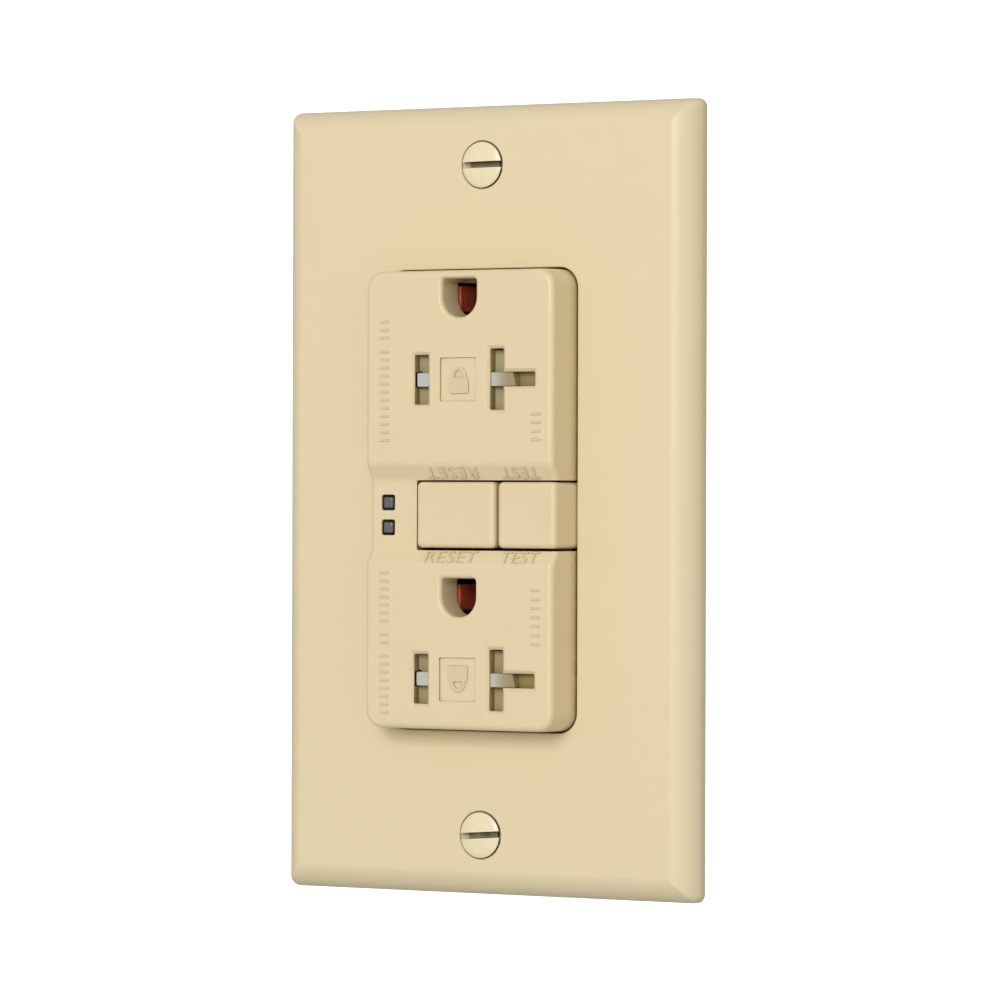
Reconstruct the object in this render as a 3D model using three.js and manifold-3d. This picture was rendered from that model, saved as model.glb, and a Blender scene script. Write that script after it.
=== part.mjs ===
// A GFCI duplex receptacle with its wall plate, as separate solids in millimetres.
// X runs right as seen from the front, Z up and Y back into the wall box.
// The wall surface is the plane y = 0 and the origin is the middle of the plate's window.

import * as THREE from 'three';
import { mergeVertices } from 'three/addons/utils/BufferGeometryUtils.js';
import Module from 'manifold-3d';

const wasm = await Module();
wasm.setup();

// ---------------------------------------------------------------- driving dimensions

// Wall plate: a one-gang plate for a rectangular device.
const PLATE_WIDTH = 69.85;
const PLATE_HEIGHT = 114.3;
const PLATE_DEPTH = 4.8;
const PLATE_WALL = 1.8;
const PLATE_BEVEL = 3.6;
const PLATE_CORNER = 2.2;
const WINDOW_WIDTH = 33.3;
const WINDOW_HEIGHT = 66.8;
const WINDOW_CORNER = 3.0;
const PLATE_SCREW_Z = 96.84 / 2;
const BOX_SCREW_Z = 83.34 / 2;

// Face cover: two outlet blocks with a lower band between them.
const FACE_Y = -11.1;
const FACE_HALF_WIDTH = 16.1;
const FACE_HALF_HEIGHT = 33.2;
const FACE_CORNER = 2.8;
const FACE_WALL = 1.5;
const COVER_SIDE_WALL = 1.8;
const BAND_DROP = 1.4;
const BAND_TOP = 2.8;
const BAND_BOTTOM = -7.2;
const CHAMFER_TOP = 5.1;
const CHAMFER_BOTTOM = -9.3;
const FLANGE_HALF_WIDTH = 21.2;
const FLANGE_HALF_HEIGHT = 34.2;
const FLANGE_FRONT = 0.2;
const FLANGE_BACK = 3.0;

// Outlets: the hot slot is at -X, the T-shaped neutral slot at +X, the ground hole above both.
const OUTLETS = { upper: 17.3, lower: -25.8 };
const BLADE_X = 6.35;
const GROUND_RISE = 11.8;
const GROUND_RADIUS = 2.8;
const GROUND_TOP = 2.72;
const SLOT_ENTRY = 0.5;

// Buttons, centred on the band.
const BUTTON_Z = -2.15;
const BUTTON_HEIGHT = 9.5;
const BUTTON_FRONT = -10.5;
const BUTTON_BACK = -3.2;
const RESET_LEFT = -7.2;
const RESET_RIGHT = 5.8;
const TEST_LEFT = 6.3;
const TEST_RIGHT = 16.05;
const PIN_X = -0.7;

// Layers behind the wall surface, front to back.
const STRAP_THICKNESS = 1.3;
const STRAP_HALF_WIDTH = 16.4;
const STRAP_EAR_HALF_WIDTH = 17.5;
const STRAP_HALF_HEIGHT = 52.7;
const STRAP_WEB_FRONT = 3.2;
const BUS_FRONT = 4.9;
const BUS_BACK = 5.7;
const MID_FLOOR_FRONT = 6.1;
const MID_FLOOR_BACK = 8.1;
const HOUSING_FRONT = 8.5;
const HOUSING_BACK = 28.0;
const HOUSING_FLOOR = 26.2;
const HOUSING_HALF_WIDTH = 21.5;
const HOUSING_HALF_HEIGHT = 34.0;
const HOUSING_WALL = 1.6;
const HOUSING_CHAMFER_WIDTH = 3.1;
const HOUSING_CHAMFER_DEPTH = 5.4;
const BOARD_FRONT = 22.5;
const BOARD_BACK = 24.1;

// Wiring terminals, one of each pair on both long sides.
const TERMINAL_Z = 17.3;
const TERMINAL_Y = 14.3;
const TERMINAL_INNER = 17.3;
const TERMINAL_OUTER = 18.3;
const CLAMP_INNER = 12.4;
const CLAMP_OUTER = 14.2;

// Fasteners that hold the shells together.
const HOUSING_SCREW_X = 17.2;
const HOUSING_SCREW_Z = 30.5;
const HOUSING_SCREW_RADIUS = 1.5;

// Trip mechanism.
const ARM_X = 8.0;
const ARM_HALF_WIDTH = 1.5;
const SOLENOID_Y = 14.0;
const CORE_Z = -19.0;

const LIGHT_PIPE_X = -12.8;
const LIGHT_PIPE_Z = { upper: -0.4, lower: -4.0 };

const QUARTER = Math.PI / 2;

// ---------------------------------------------------------------- materials

const MATERIALS = {
  ivory: [0xe2d0ab, 0.42, 0.0],
  ivoryButton: [0xddc9a4, 0.4, 0.0],
  greyPlastic: [0x9c9d98, 0.55, 0.0],
  whitePlastic: [0xd9d6cc, 0.35, 0.0],
  blackPlastic: [0x26262a, 0.5, 0.0],
  paintedScrew: [0xf0e0ba, 0.38, 0.0],
  zincSteel: [0xb9bcbd, 0.35, 1.0],
  springSteel: [0x8f9194, 0.3, 1.0],
  brass: [0xc39a4d, 0.3, 1.0],
  nickel: [0xc4c2b8, 0.3, 1.0],
  copper: [0x8a4a2a, 0.35, 1.0],
  greenScrew: [0x2f7d4a, 0.4, 0.6],
  boardGreen: [0x2c5f43, 0.55, 0.0],
  copperWinding: [0xa8552b, 0.4, 0.7],
  ferrite: [0x3a3a3d, 0.7, 0.0],
  varistorBlue: [0x2f5f9b, 0.45, 0.0],
  capacitorYellow: [0xc9a23a, 0.45, 0.0],
  smokedLens: [0x605d5e, 0.15, 0.0],
};

function material(name) {
  const [color, roughness, metalness] = MATERIALS[name];
  return new THREE.MeshStandardMaterial({ color, roughness, metalness });
}

// ---------------------------------------------------------------- solids and booleans

// Closed geometry to a solid, with shared vertices merged and empty triangles dropped.
function toSolid(geometry) {
  const bare = geometry.clone();
  bare.deleteAttribute('normal');
  bare.deleteAttribute('uv');
  const merged = mergeVertices(bare, 1e-4);
  const source = merged.index.array;
  const triangles = [];
  for (let i = 0; i < source.length; i += 3) {
    const [a, b, c] = [source[i], source[i + 1], source[i + 2]];
    if (a !== b && b !== c && a !== c) triangles.push(a, b, c);
  }
  const vertProperties = new Float32Array(merged.attributes.position.array);
  const triVerts = new Uint32Array(triangles);
  return new wasm.Manifold(new wasm.Mesh({ numProp: 3, vertProperties, triVerts }));
}

function toGeometry(solid) {
  const mesh = solid.getMesh();
  const geometry = new THREE.BufferGeometry();
  geometry.setAttribute('position', new THREE.BufferAttribute(mesh.vertProperties, 3));
  geometry.setIndex(new THREE.BufferAttribute(mesh.triVerts, 1));
  geometry.computeVertexNormals();
  return geometry;
}

function joined(geometries) {
  return geometries.map(toSolid).reduce((whole, piece) => whole.add(piece));
}

// All of `solids` as one body, less every one of `holes`.
function body(solids, holes = []) {
  const whole = joined(solids);
  return toGeometry(holes.length ? whole.subtract(joined(holes)) : whole);
}

// ---------------------------------------------------------------- shapes

function block(x0, x1, y0, y1, z0, z1) {
  const geometry = new THREE.BoxGeometry(x1 - x0, y1 - y0, z1 - z0);
  return geometry.translate((x0 + x1) / 2, (y0 + y1) / 2, (z0 + z1) / 2);
}

// A cylinder along one axis; `across` holds its other two coordinates in X, Y, Z order.
function rod(axis, radius, from, to, across, sides = 16) {
  const geometry = new THREE.CylinderGeometry(radius, radius, to - from, sides);
  const middle = (from + to) / 2;
  if (axis === 'x') return geometry.rotateZ(Math.PI / 2).translate(middle, across[0], across[1]);
  if (axis === 'z') return geometry.rotateX(Math.PI / 2).translate(across[0], across[1], middle);
  return geometry.translate(across[0], middle, across[1]);
}

function polygon(points) {
  return new THREE.Shape(points.map(([x, y]) => new THREE.Vector2(x, y)));
}

function rectangle(halfWidth, halfHeight, cx = 0, cy = 0) {
  return polygon([
    [cx - halfWidth, cy - halfHeight],
    [cx + halfWidth, cy - halfHeight],
    [cx + halfWidth, cy + halfHeight],
    [cx - halfWidth, cy + halfHeight],
  ]);
}

function roundedRectangle(halfWidth, halfHeight, radius, cx = 0, cy = 0) {
  const shape = new THREE.Shape();
  const corners = [[1, -1], [1, 1], [-1, 1], [-1, -1]];
  corners.forEach(([sx, sy], i) => {
    const start = (i - 1) * Math.PI / 2;
    const x = cx + sx * (halfWidth - radius);
    const y = cy + sy * (halfHeight - radius);
    shape.absarc(x, y, radius, start, start + Math.PI / 2, false);
  });
  shape.closePath();
  return shape;
}

// A strip of constant thickness along a bent line, such as folded sheet metal.
function ribbon(points, thickness) {
  const line = points.map(([x, y]) => new THREE.Vector2(x, y));
  const sideways = (a, b) => {
    const along = b.clone().sub(a).normalize();
    return new THREE.Vector2(-along.y, along.x);
  };
  const offsets = line.map((point, i) => {
    const before = i > 0 ? sideways(line[i - 1], point) : sideways(point, line[i + 1]);
    const after = i < line.length - 1 ? sideways(point, line[i + 1]) : before;
    const mitre = before.clone().add(after).normalize();
    return mitre.multiplyScalar(thickness / 2 / mitre.dot(after));
  });
  const left = line.map((point, i) => point.clone().add(offsets[i]));
  const right = line.map((point, i) => point.clone().sub(offsets[i]));
  return new THREE.Shape([...right, ...left.reverse()]);
}

const ARC_STEPS = 4;
const EXTRUDE_PLAIN = { bevelEnabled: false, curveSegments: ARC_STEPS };

// Extrusions along each axis. The shape's own axes become (X, Z), (Y, Z) or (X, Y).
function alongY(shape, yFront, yBack) {
  const geometry = new THREE.ExtrudeGeometry(shape, { ...EXTRUDE_PLAIN, depth: yBack - yFront });
  return geometry.rotateX(Math.PI / 2).translate(0, yBack, 0);
}

function alongX(shape, x0, x1) {
  const geometry = new THREE.ExtrudeGeometry(shape, { ...EXTRUDE_PLAIN, depth: x1 - x0 });
  return geometry.rotateX(Math.PI / 2).rotateZ(Math.PI / 2).translate(x0, 0, 0);
}

function alongZ(shape, z0, z1) {
  const geometry = new THREE.ExtrudeGeometry(shape, { ...EXTRUDE_PLAIN, depth: z1 - z0 });
  return geometry.translate(0, 0, z0);
}

// A block whose front edges are rounded: `shape` is its front face, grown by `ease` over `run`.
function easedFront(shape, yFront, yBack, ease, run, steps) {
  const depth = yBack - yFront - run;
  const geometry = new THREE.ExtrudeGeometry(shape, {
    depth,
    bevelSize: ease,
    bevelThickness: run,
    bevelSegments: steps,
    curveSegments: ARC_STEPS,
  });
  geometry.rotateX(Math.PI / 2).translate(0, yBack, 0);
  const past = 2 * run;
  const reach = 200;
  const keep = toSolid(block(-reach, reach, yFront - past, yBack, -reach, reach));
  return toGeometry(toSolid(geometry).intersect(keep));
}

// A hole's widened mouth: `shape` at its bottom, grown by SLOT_ENTRY at the surface yFront.
function entry(shape, yFront) {
  const geometry = new THREE.ExtrudeGeometry(shape, {
    depth: 1,
    bevelSize: SLOT_ENTRY,
    bevelThickness: SLOT_ENTRY + 0.1,
    bevelSegments: 1,
    curveSegments: ARC_STEPS,
  });
  return geometry.rotateX(Math.PI / 2).translate(0, yFront, 0);
}

// A body turned about local Z from a profile of [radius, z] that starts and ends on the axis.
function turned(profile, sides = 16) {
  const points = profile.map(([radius, z]) => new THREE.Vector2(radius, z));
  return new THREE.LatheGeometry(points, sides).rotateX(Math.PI / 2);
}

class Helix extends THREE.Curve {
  constructor(radius, length, turns) {
    super();
    Object.assign(this, { radius, length, turns });
  }

  getPoint(t, target = new THREE.Vector3()) {
    const angle = 2 * Math.PI * this.turns * t;
    const [x, y] = [this.radius * Math.cos(angle), this.radius * Math.sin(angle)];
    return target.set(x, y, this.length * t);
  }
}

// A compression spring along local +Z, starting at the local origin.
function coilSpring({ radius, wire, length, turns }) {
  const sides = 5;
  const corners = Array.from({ length: sides }, (_, i) => {
    const angle = 2 * Math.PI * i / sides;
    return [wire / 2 * Math.cos(angle), wire / 2 * Math.sin(angle)];
  });
  const geometry = new THREE.ExtrudeGeometry(polygon(corners), {
    steps: Math.round(turns * 8),
    bevelEnabled: false,
    extrudePath: new Helix(radius, length, turns),
  });
  return body([geometry]);
}

// A screw along local Z: the head's seat is at z = 0, its top faces +Z, the shank runs to -Z.
function screw({ headRadius, headHeight, dome = 0, cone = 0, shankRadius, length, slot }) {
  const tip = -length;
  const profile = [
    [0, tip],
    [shankRadius * 0.7, tip],
    [shankRadius, tip + 0.8],
    [shankRadius, -cone],
    [headRadius, 0],
    [headRadius, headHeight],
    [headRadius * 0.6, headHeight + dome * 0.75],
    [0, headHeight + dome],
  ];
  const half = slot.width / 2;
  const top = headHeight + dome;
  const reach = headRadius + 1;
  const groove = block(-reach, reach, -half, half, top - slot.depth, top + 1);
  return body([turned(profile)], [groove]);
}

// ---------------------------------------------------------------- scene helpers

const outlet = new THREE.Group();

function place(parent, name, geometry, materialName, position = [0, 0, 0], rotation = [0, 0, 0]) {
  const mesh = new THREE.Mesh(geometry, material(materialName));
  mesh.name = name;
  mesh.position.set(...position);
  mesh.rotation.set(...rotation);
  parent.add(mesh);
}

const FACING_FRONT = [QUARTER, 0, 0];
const FACING_BACK = [-QUARTER, 0, 0];
const facingSide = (side) => [0, side * QUARTER, 0];

// ---------------------------------------------------------------- wall plate

function makeWallPlate() {
  const halfW = PLATE_WIDTH / 2;
  const halfH = PLATE_HEIGHT / 2;
  const front = rectangle(halfW - PLATE_BEVEL, halfH - PLATE_BEVEL);
  const domed = easedFront(front, -PLATE_DEPTH, 0, PLATE_BEVEL, PLATE_BEVEL, 5);
  const outline = roundedRectangle(halfW, halfH, PLATE_CORNER);
  const rounded = toSolid(domed).intersect(toSolid(alongY(outline, -PLATE_DEPTH, 0)));
  const insideW = halfW - PLATE_WALL;
  const insideH = halfH - PLATE_WALL;
  const hollow = roundedRectangle(insideW, insideH, PLATE_CORNER / 2);
  const hollowed = toGeometry(rounded.subtract(toSolid(alongY(hollow, -PLATE_DEPTH + PLATE_WALL, 1))));

  const window = roundedRectangle(WINDOW_WIDTH / 2, WINDOW_HEIGHT / 2, WINDOW_CORNER);
  const holes = [alongY(window, -PLATE_DEPTH - 1, 1)];
  for (const z of [PLATE_SCREW_Z, -PLATE_SCREW_Z]) {
    holes.push(rod('y', 2.05, -PLATE_DEPTH - 1, 1, [0, z]));
    const sink = turned([[0, -1.6], [2.05, -1.6], [3.5, -0.2], [3.5, 1], [0, 1]], 20);
    holes.push(sink.rotateX(QUARTER).translate(0, -PLATE_DEPTH, z));
  }
  return body([hollowed], holes);
}

place(outlet, 'wall_plate', makeWallPlate(), 'ivory');

const plateScrew = screw({
  headRadius: 3.3,
  headHeight: 0.25,
  dome: 0.5,
  cone: 1.3,
  shankRadius: 1.75,
  length: 12.7,
  slot: { width: 0.9, depth: 0.9 },
});
for (const [end, side] of [['top', 1], ['bottom', -1]]) {
  const seat = [0, -PLATE_DEPTH + 0.2, side * PLATE_SCREW_Z];
  place(outlet, `plate_screw_${end}`, plateScrew, 'paintedScrew', seat, FACING_FRONT);
}

// ---------------------------------------------------------------- face cover

// Neutral opening for vertical and horizontal blades: a T lying on its side.
function neutralShape(grow = 0) {
  const left = BLADE_X - 1.1 - grow;
  const right = BLADE_X + 1.1 + grow;
  const arm = BLADE_X + 6.4 + grow;
  const tall = 4.4 + grow;
  const thick = 1.13 + grow;
  return [
    [left, -tall],
    [right, -tall],
    [right, -thick],
    [arm, -thick],
    [arm, thick],
    [right, thick],
    [right, tall],
    [left, tall],
  ];
}

function hotShape(grow = 0) {
  const [halfW, halfH] = [1.05 + grow, 3.55 + grow];
  return [
    [-BLADE_X - halfW, -halfH],
    [-BLADE_X + halfW, -halfH],
    [-BLADE_X + halfW, halfH],
    [-BLADE_X - halfW, halfH],
  ];
}

function raised(points, z) {
  return polygon(points.map(([x, height]) => [x, height + z]));
}

// Ground hole: flat on top, half round below.
function groundShape(z, grow = 0) {
  const radius = GROUND_RADIUS + grow;
  const shape = new THREE.Shape();
  shape.moveTo(radius, z + GROUND_TOP + grow);
  shape.lineTo(-radius, z + GROUND_TOP + grow);
  shape.absarc(0, z, radius, Math.PI, 2 * Math.PI, false);
  shape.closePath();
  return shape;
}

function makeFaceCover() {
  const ease = 0.5;
  const front = roundedRectangle(FACE_HALF_WIDTH - ease, FACE_HALF_HEIGHT - ease, FACE_CORNER - ease);
  const flange = roundedRectangle(FLANGE_HALF_WIDTH, FLANGE_HALF_HEIGHT, 1);
  const solids = [
    easedFront(front, FACE_Y, FLANGE_FRONT + 0.5, ease, ease, 2),
    alongY(flange, FLANGE_FRONT, FLANGE_BACK),
  ];
  const bandY = FACE_Y + BAND_DROP;
  const insideW = FACE_HALF_WIDTH - COVER_SIDE_WALL;
  const insideH = FACE_HALF_HEIGHT - COVER_SIDE_WALL;
  const wallBack = FACE_Y + FACE_WALL;
  const pocketFront = bandY + FACE_WALL;
  const open = FLANGE_BACK + 3;
  const cavity = [
    block(-insideW, insideW, pocketFront, open, -insideH, insideH),
    block(-insideW, insideW, wallBack, pocketFront + 1, CHAMFER_TOP + 0.8, insideH),
    block(-insideW, insideW, wallBack, pocketFront + 1, -insideH, CHAMFER_BOTTOM - 0.8),
  ];
  const band = polygon([
    [FACE_Y - 2, CHAMFER_TOP],
    [FACE_Y, CHAMFER_TOP],
    [bandY, BAND_TOP],
    [bandY, BAND_BOTTOM],
    [FACE_Y, CHAMFER_BOTTOM],
    [FACE_Y - 2, CHAMFER_BOTTOM],
  ]);
  const holes = [
    alongX(band, -FACE_HALF_WIDTH - 1, FACE_HALF_WIDTH + 1),
    block(RESET_LEFT - 0.3, FACE_HALF_WIDTH + 1, FACE_Y - 1, -1.2, BAND_BOTTOM + 0.05, BAND_TOP - 0.05),
  ];
  const guides = [];
  for (const z of Object.values(OUTLETS)) {
    const groundZ = z + GROUND_RISE;
    guides.push(alongY(groundShape(groundZ, 1.0), FACE_Y + 0.5, -6.6));
    for (const shape of [raised(hotShape(), z), raised(neutralShape(), z), groundShape(groundZ)]) {
      holes.push(alongY(shape, FACE_Y - 1, wallBack + 0.5));
      holes.push(entry(shape, FACE_Y));
    }
    holes.push(alongY(groundShape(groundZ), FACE_Y - 1, 0));
    holes.push(alongY(rectangle(3.1, 3.15, 0, z), FACE_Y - 1, FACE_Y + 0.3));
  }
  for (const z of Object.values(LIGHT_PIPE_Z)) {
    holes.push(block(LIGHT_PIPE_X - 1, LIGHT_PIPE_X + 1, FACE_Y, 0, z - 1.02, z + 1.02));
  }
  for (const sx of [1, -1]) {
    for (const sz of [1, -1]) {
      const axis = [sx * HOUSING_SCREW_X, sz * HOUSING_SCREW_Z];
      guides.push(rod('y', 2.4, FLANGE_BACK - 0.5, 5.6, axis));
      holes.push(rod('y', HOUSING_SCREW_RADIUS + 0.3, 0.9, 7, axis));
    }
  }
  const shell = toGeometry(joined(solids).subtract(joined(cavity)));
  return body([shell, ...guides], holes);
}

place(outlet, 'face_cover', makeFaceCover(), 'ivory');

// ---------------------------------------------------------------- buttons

function buttonShell(left, right) {
  const ease = 0.5;
  const wall = 1.2;
  const middle = (left + right) / 2;
  const halfW = (right - left) / 2;
  const halfH = BUTTON_HEIGHT / 2;
  const front = roundedRectangle(halfW - ease, halfH - ease, 0.5, middle, BUTTON_Z);
  const inside = block(
    left + wall,
    right - wall,
    BUTTON_FRONT + wall,
    BUTTON_BACK + 1,
    BUTTON_Z - halfH + wall,
    BUTTON_Z + halfH - wall,
  );
  const cap = easedFront(front, BUTTON_FRONT, BUTTON_BACK, ease, ease, 2);
  return body([cap], [inside]);
}

const resetBoss = rod('y', 2.6, BUTTON_FRONT + 1, BUTTON_BACK, [PIN_X, BUTTON_Z]);
const resetBore = rod('y', 1.6, -8.2, BUTTON_BACK + 1, [PIN_X, BUTTON_Z]);
const resetButton = body([buttonShell(RESET_LEFT, RESET_RIGHT), resetBoss], [resetBore]);
place(outlet, 'reset_button', resetButton, 'ivoryButton');

const TEST_STEM = { left: 10.2, right: 12.7, bottom: -3.6, top: -0.7, back: 8.9 };
const testStem = block(
  TEST_STEM.left,
  TEST_STEM.right,
  BUTTON_FRONT + 1,
  TEST_STEM.back,
  TEST_STEM.bottom,
  TEST_STEM.top,
);
place(outlet, 'test_button', body([buttonShell(TEST_LEFT, TEST_RIGHT), testStem]), 'ivoryButton');

// The pin hangs from the reset button; the groove near its end catches the latch plate.
const PIN_RADIUS = 1.3;
const pinProfile = [
  [0, -17.8],
  [0.5, -17.8],
  [PIN_RADIUS, -16.6],
  [PIN_RADIUS, -15.4],
  [0.8, -15.3],
  [0.8, -14.3],
  [PIN_RADIUS, -14.2],
  [PIN_RADIUS, 7.9],
  [0, 7.9],
];
place(outlet, 'reset_pin', body([turned(pinProfile)]), 'zincSteel', [PIN_X, 0, BUTTON_Z], FACING_FRONT);

const resetSpring = coilSpring({ radius: 3.1, wire: 0.5, length: 8.0, turns: 6 });
const resetSpringStart = [PIN_X, MID_FLOOR_FRONT - 0.5, BUTTON_Z];
place(outlet, 'reset_spring', resetSpring, 'springSteel', resetSpringStart, FACING_FRONT);

// The leaf that the test button's stem bends back.
const testLeaf = block(10.0, 12.9, 9.3, 9.8, -15.8, 0.5);
place(outlet, 'test_leaf', testLeaf, 'copper');

// ---------------------------------------------------------------- outlets

const SHUTTER_FRONT = FACE_Y + FACE_WALL + 0.1;
const SHUTTER_BACK = SHUTTER_FRONT + 1.6;
const SHUTTER_REACH = 5.3;
const RETAINER_FRONT = SHUTTER_BACK + 0.3;

// A sliding frame with a wedge behind each blade slot. Blades push both wedges aside at once.
function makeShutter() {
  const wedge = (x0, x1, halfHeight) => alongZ(polygon([
    [x0, SHUTTER_FRONT + 0.3],
    [x1, SHUTTER_BACK - 0.3],
    [x1, SHUTTER_BACK],
    [x0, SHUTTER_BACK],
  ]), -halfHeight, halfHeight);
  const tab = polygon([
    [-7.2, SHUTTER_FRONT],
    [8.9, SHUTTER_FRONT],
    [9.6, SHUTTER_BACK],
    [-7.2, SHUTTER_BACK],
  ]);
  const [inner, outer] = [3.9, 5.2];
  const reach = SHUTTER_REACH;
  const frame = block(-outer, outer, SHUTTER_FRONT, SHUTTER_BACK, -reach, reach);
  const opening = block(-inner, inner, SHUTTER_FRONT - 1, SHUTTER_BACK + 1, -4.6, 4.6);
  const rib = block(-0.8, 0.8, SHUTTER_FRONT, SHUTTER_BACK, -reach, reach);
  const ends = [wedge(-7.2, -inner, 3.5), wedge(inner, 7.4, 4.3), alongZ(tab, -1, 1)];
  return body([body([frame, ...ends], [opening]), rib]);
}

function makeRetainer() {
  const plate = block(-13.8, 13.8, RETAINER_FRONT, RETAINER_FRONT + 0.8, -5.4, 6.6);
  const slots = [polygon(hotShape(0.2)), polygon(neutralShape(0.2))];
  return body([plate], slots.map((shape) => alongY(shape, RETAINER_FRONT - 1, RETAINER_FRONT + 2)));
}

// A plate with a hole and two fingers that grip the ground pin.
function makeGroundContact() {
  const back = STRAP_WEB_FRONT + STRAP_THICKNESS + 0.2;
  const plate = block(-5.4, 5.4, back, back + 0.8, -4.6, 3.4);
  const fingers = [1, -1].map((side) => {
    const inner = side * 2.6;
    const outer = side * 3.3;
    return block(Math.min(inner, outer), Math.max(inner, outer), -6.2, back + 0.8, -1.9, 1.8);
  });
  const hole = block(-2.6, 2.6, back - 1, back + 2, -2.6, 2.6);
  return body([body([plate], [hole]), ...fingers]);
}

const shutterSpring = coilSpring({ radius: 0.7, wire: 0.3, length: 6.3, turns: 5 });

for (const [name, z] of Object.entries(OUTLETS)) {
  const group = new THREE.Group();
  group.position.z = z;
  outlet.add(group);
  place(group, `${name}_shutter`, makeShutter(), 'whitePlastic');
  place(group, `${name}_shutter_retainer`, makeRetainer(), 'greyPlastic');
  const springEnd = [-13.8, (SHUTTER_FRONT + SHUTTER_BACK) / 2, 0];
  place(group, `${name}_shutter_spring`, shutterSpring, 'springSteel', springEnd, facingSide(1));
  place(group, `${name}_ground_contact`, makeGroundContact(), 'copper', [0, 0, GROUND_RISE]);
}

// ---------------------------------------------------------------- mounting strap

function makeStrap() {
  const thick = STRAP_THICKNESS;
  const webBack = STRAP_WEB_FRONT + thick;
  const bend = FLANGE_HALF_HEIGHT + 0.3;
  const solids = [block(-STRAP_HALF_WIDTH, STRAP_HALF_WIDTH, STRAP_WEB_FRONT, webBack, -bend, bend)];
  const holes = [];
  for (const side of [1, -1]) {
    const step = [Math.min(side * bend, side * (bend + thick)), Math.max(side * bend, side * (bend + thick))];
    solids.push(block(-STRAP_HALF_WIDTH, STRAP_HALF_WIDTH, -thick, webBack, ...step));
    const earHalf = (STRAP_HALF_HEIGHT - bend) / 2;
    const earMiddle = side * (bend + earHalf);
    const ear = roundedRectangle(STRAP_EAR_HALF_WIDTH, earHalf, 2, 0, earMiddle);
    solids.push(alongY(ear, -thick, 0));
    const slot = roundedRectangle(3.4, 2.1, 2.1, 0, side * BOX_SCREW_Z);
    holes.push(alongY(slot, -thick - 1, 1));
    holes.push(rod('y', 2.05, -thick - 1, 1, [0, side * PLATE_SCREW_Z]));
    for (const sx of [1, -1]) {
      const corner = [sx * HOUSING_SCREW_X, side * HOUSING_SCREW_Z];
      holes.push(rod('y', 2.8, STRAP_WEB_FRONT - 1, webBack + 1, corner));
    }
  }
  const windows = [
    [-13.6, 13.6, OUTLETS.upper - 5.5, OUTLETS.upper + 5.5],
    [-13.6, 13.6, OUTLETS.lower - 5.5, OUTLETS.lower + 5.5],
    [-14.6, 13.6, -8.2, 4.6],
    [-3.7, 3.7, OUTLETS.upper + GROUND_RISE - 3.4, OUTLETS.upper + GROUND_RISE + 3.4],
    [-3.7, 3.7, OUTLETS.lower + GROUND_RISE - 3.4, OUTLETS.lower + GROUND_RISE + 3.4],
  ];
  for (const [x0, x1, z0, z1] of windows) {
    holes.push(block(x0, x1, STRAP_WEB_FRONT - 1, webBack + 1, z0, z1));
  }
  // The lug for the green ground screw, folded back from the lower ear.
  solids.push(block(-14.4, -14.4 + thick, -thick / 2, 11.5, -46.5, -37.5));
  holes.push(rod('x', 2.4, -16, -12, [6, -42]));
  return body(solids, holes);
}

place(outlet, 'mounting_strap', makeStrap(), 'zincSteel');

const groundScrew = screw({
  headRadius: 4.2,
  headHeight: 2.6,
  shankRadius: 2.05,
  length: 7.5,
  slot: { width: 1.0, depth: 1.2 },
});
place(outlet, 'ground_screw', groundScrew, 'greenScrew', [-14.7, 6, -42], facingSide(-1));

const boxScrew = screw({
  headRadius: 3.7,
  headHeight: 0.4,
  dome: 0.9,
  shankRadius: 1.75,
  length: 25,
  slot: { width: 1.0, depth: 0.8 },
});
for (const [end, side] of [['top', 1], ['bottom', -1]]) {
  const seat = [0, -STRAP_THICKNESS - 0.2, side * BOX_SCREW_Z];
  place(outlet, `box_screw_${end}`, boxScrew, 'zincSteel', seat, FACING_FRONT);
}

// ---------------------------------------------------------------- buses and terminals

// Two springy leaves that grip a blade, flared towards the front.
function bladeLeaves(x) {
  return ribbon([
    [x - 2.25, -6.0],
    [x - 1.05, -4.4],
    [x - 1.25, BUS_FRONT + 0.4],
    [x + 1.25, BUS_FRONT + 0.4],
    [x + 1.05, -4.4],
    [x + 2.25, -6.0],
  ], 0.7);
}

function spansOf(side, a, b) {
  return [Math.min(side * a, side * b), Math.max(side * a, side * b)];
}

function terminalPlate(side, yFront, yBack, z) {
  const span = spansOf(side, TERMINAL_INNER, TERMINAL_OUTER);
  return {
    plate: block(...span, yFront, yBack, z - 5, z + 5),
    hole: rod('x', 2.45, side * 18 - 3, side * 18 + 3, [TERMINAL_Y, z]),
  };
}

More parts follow.
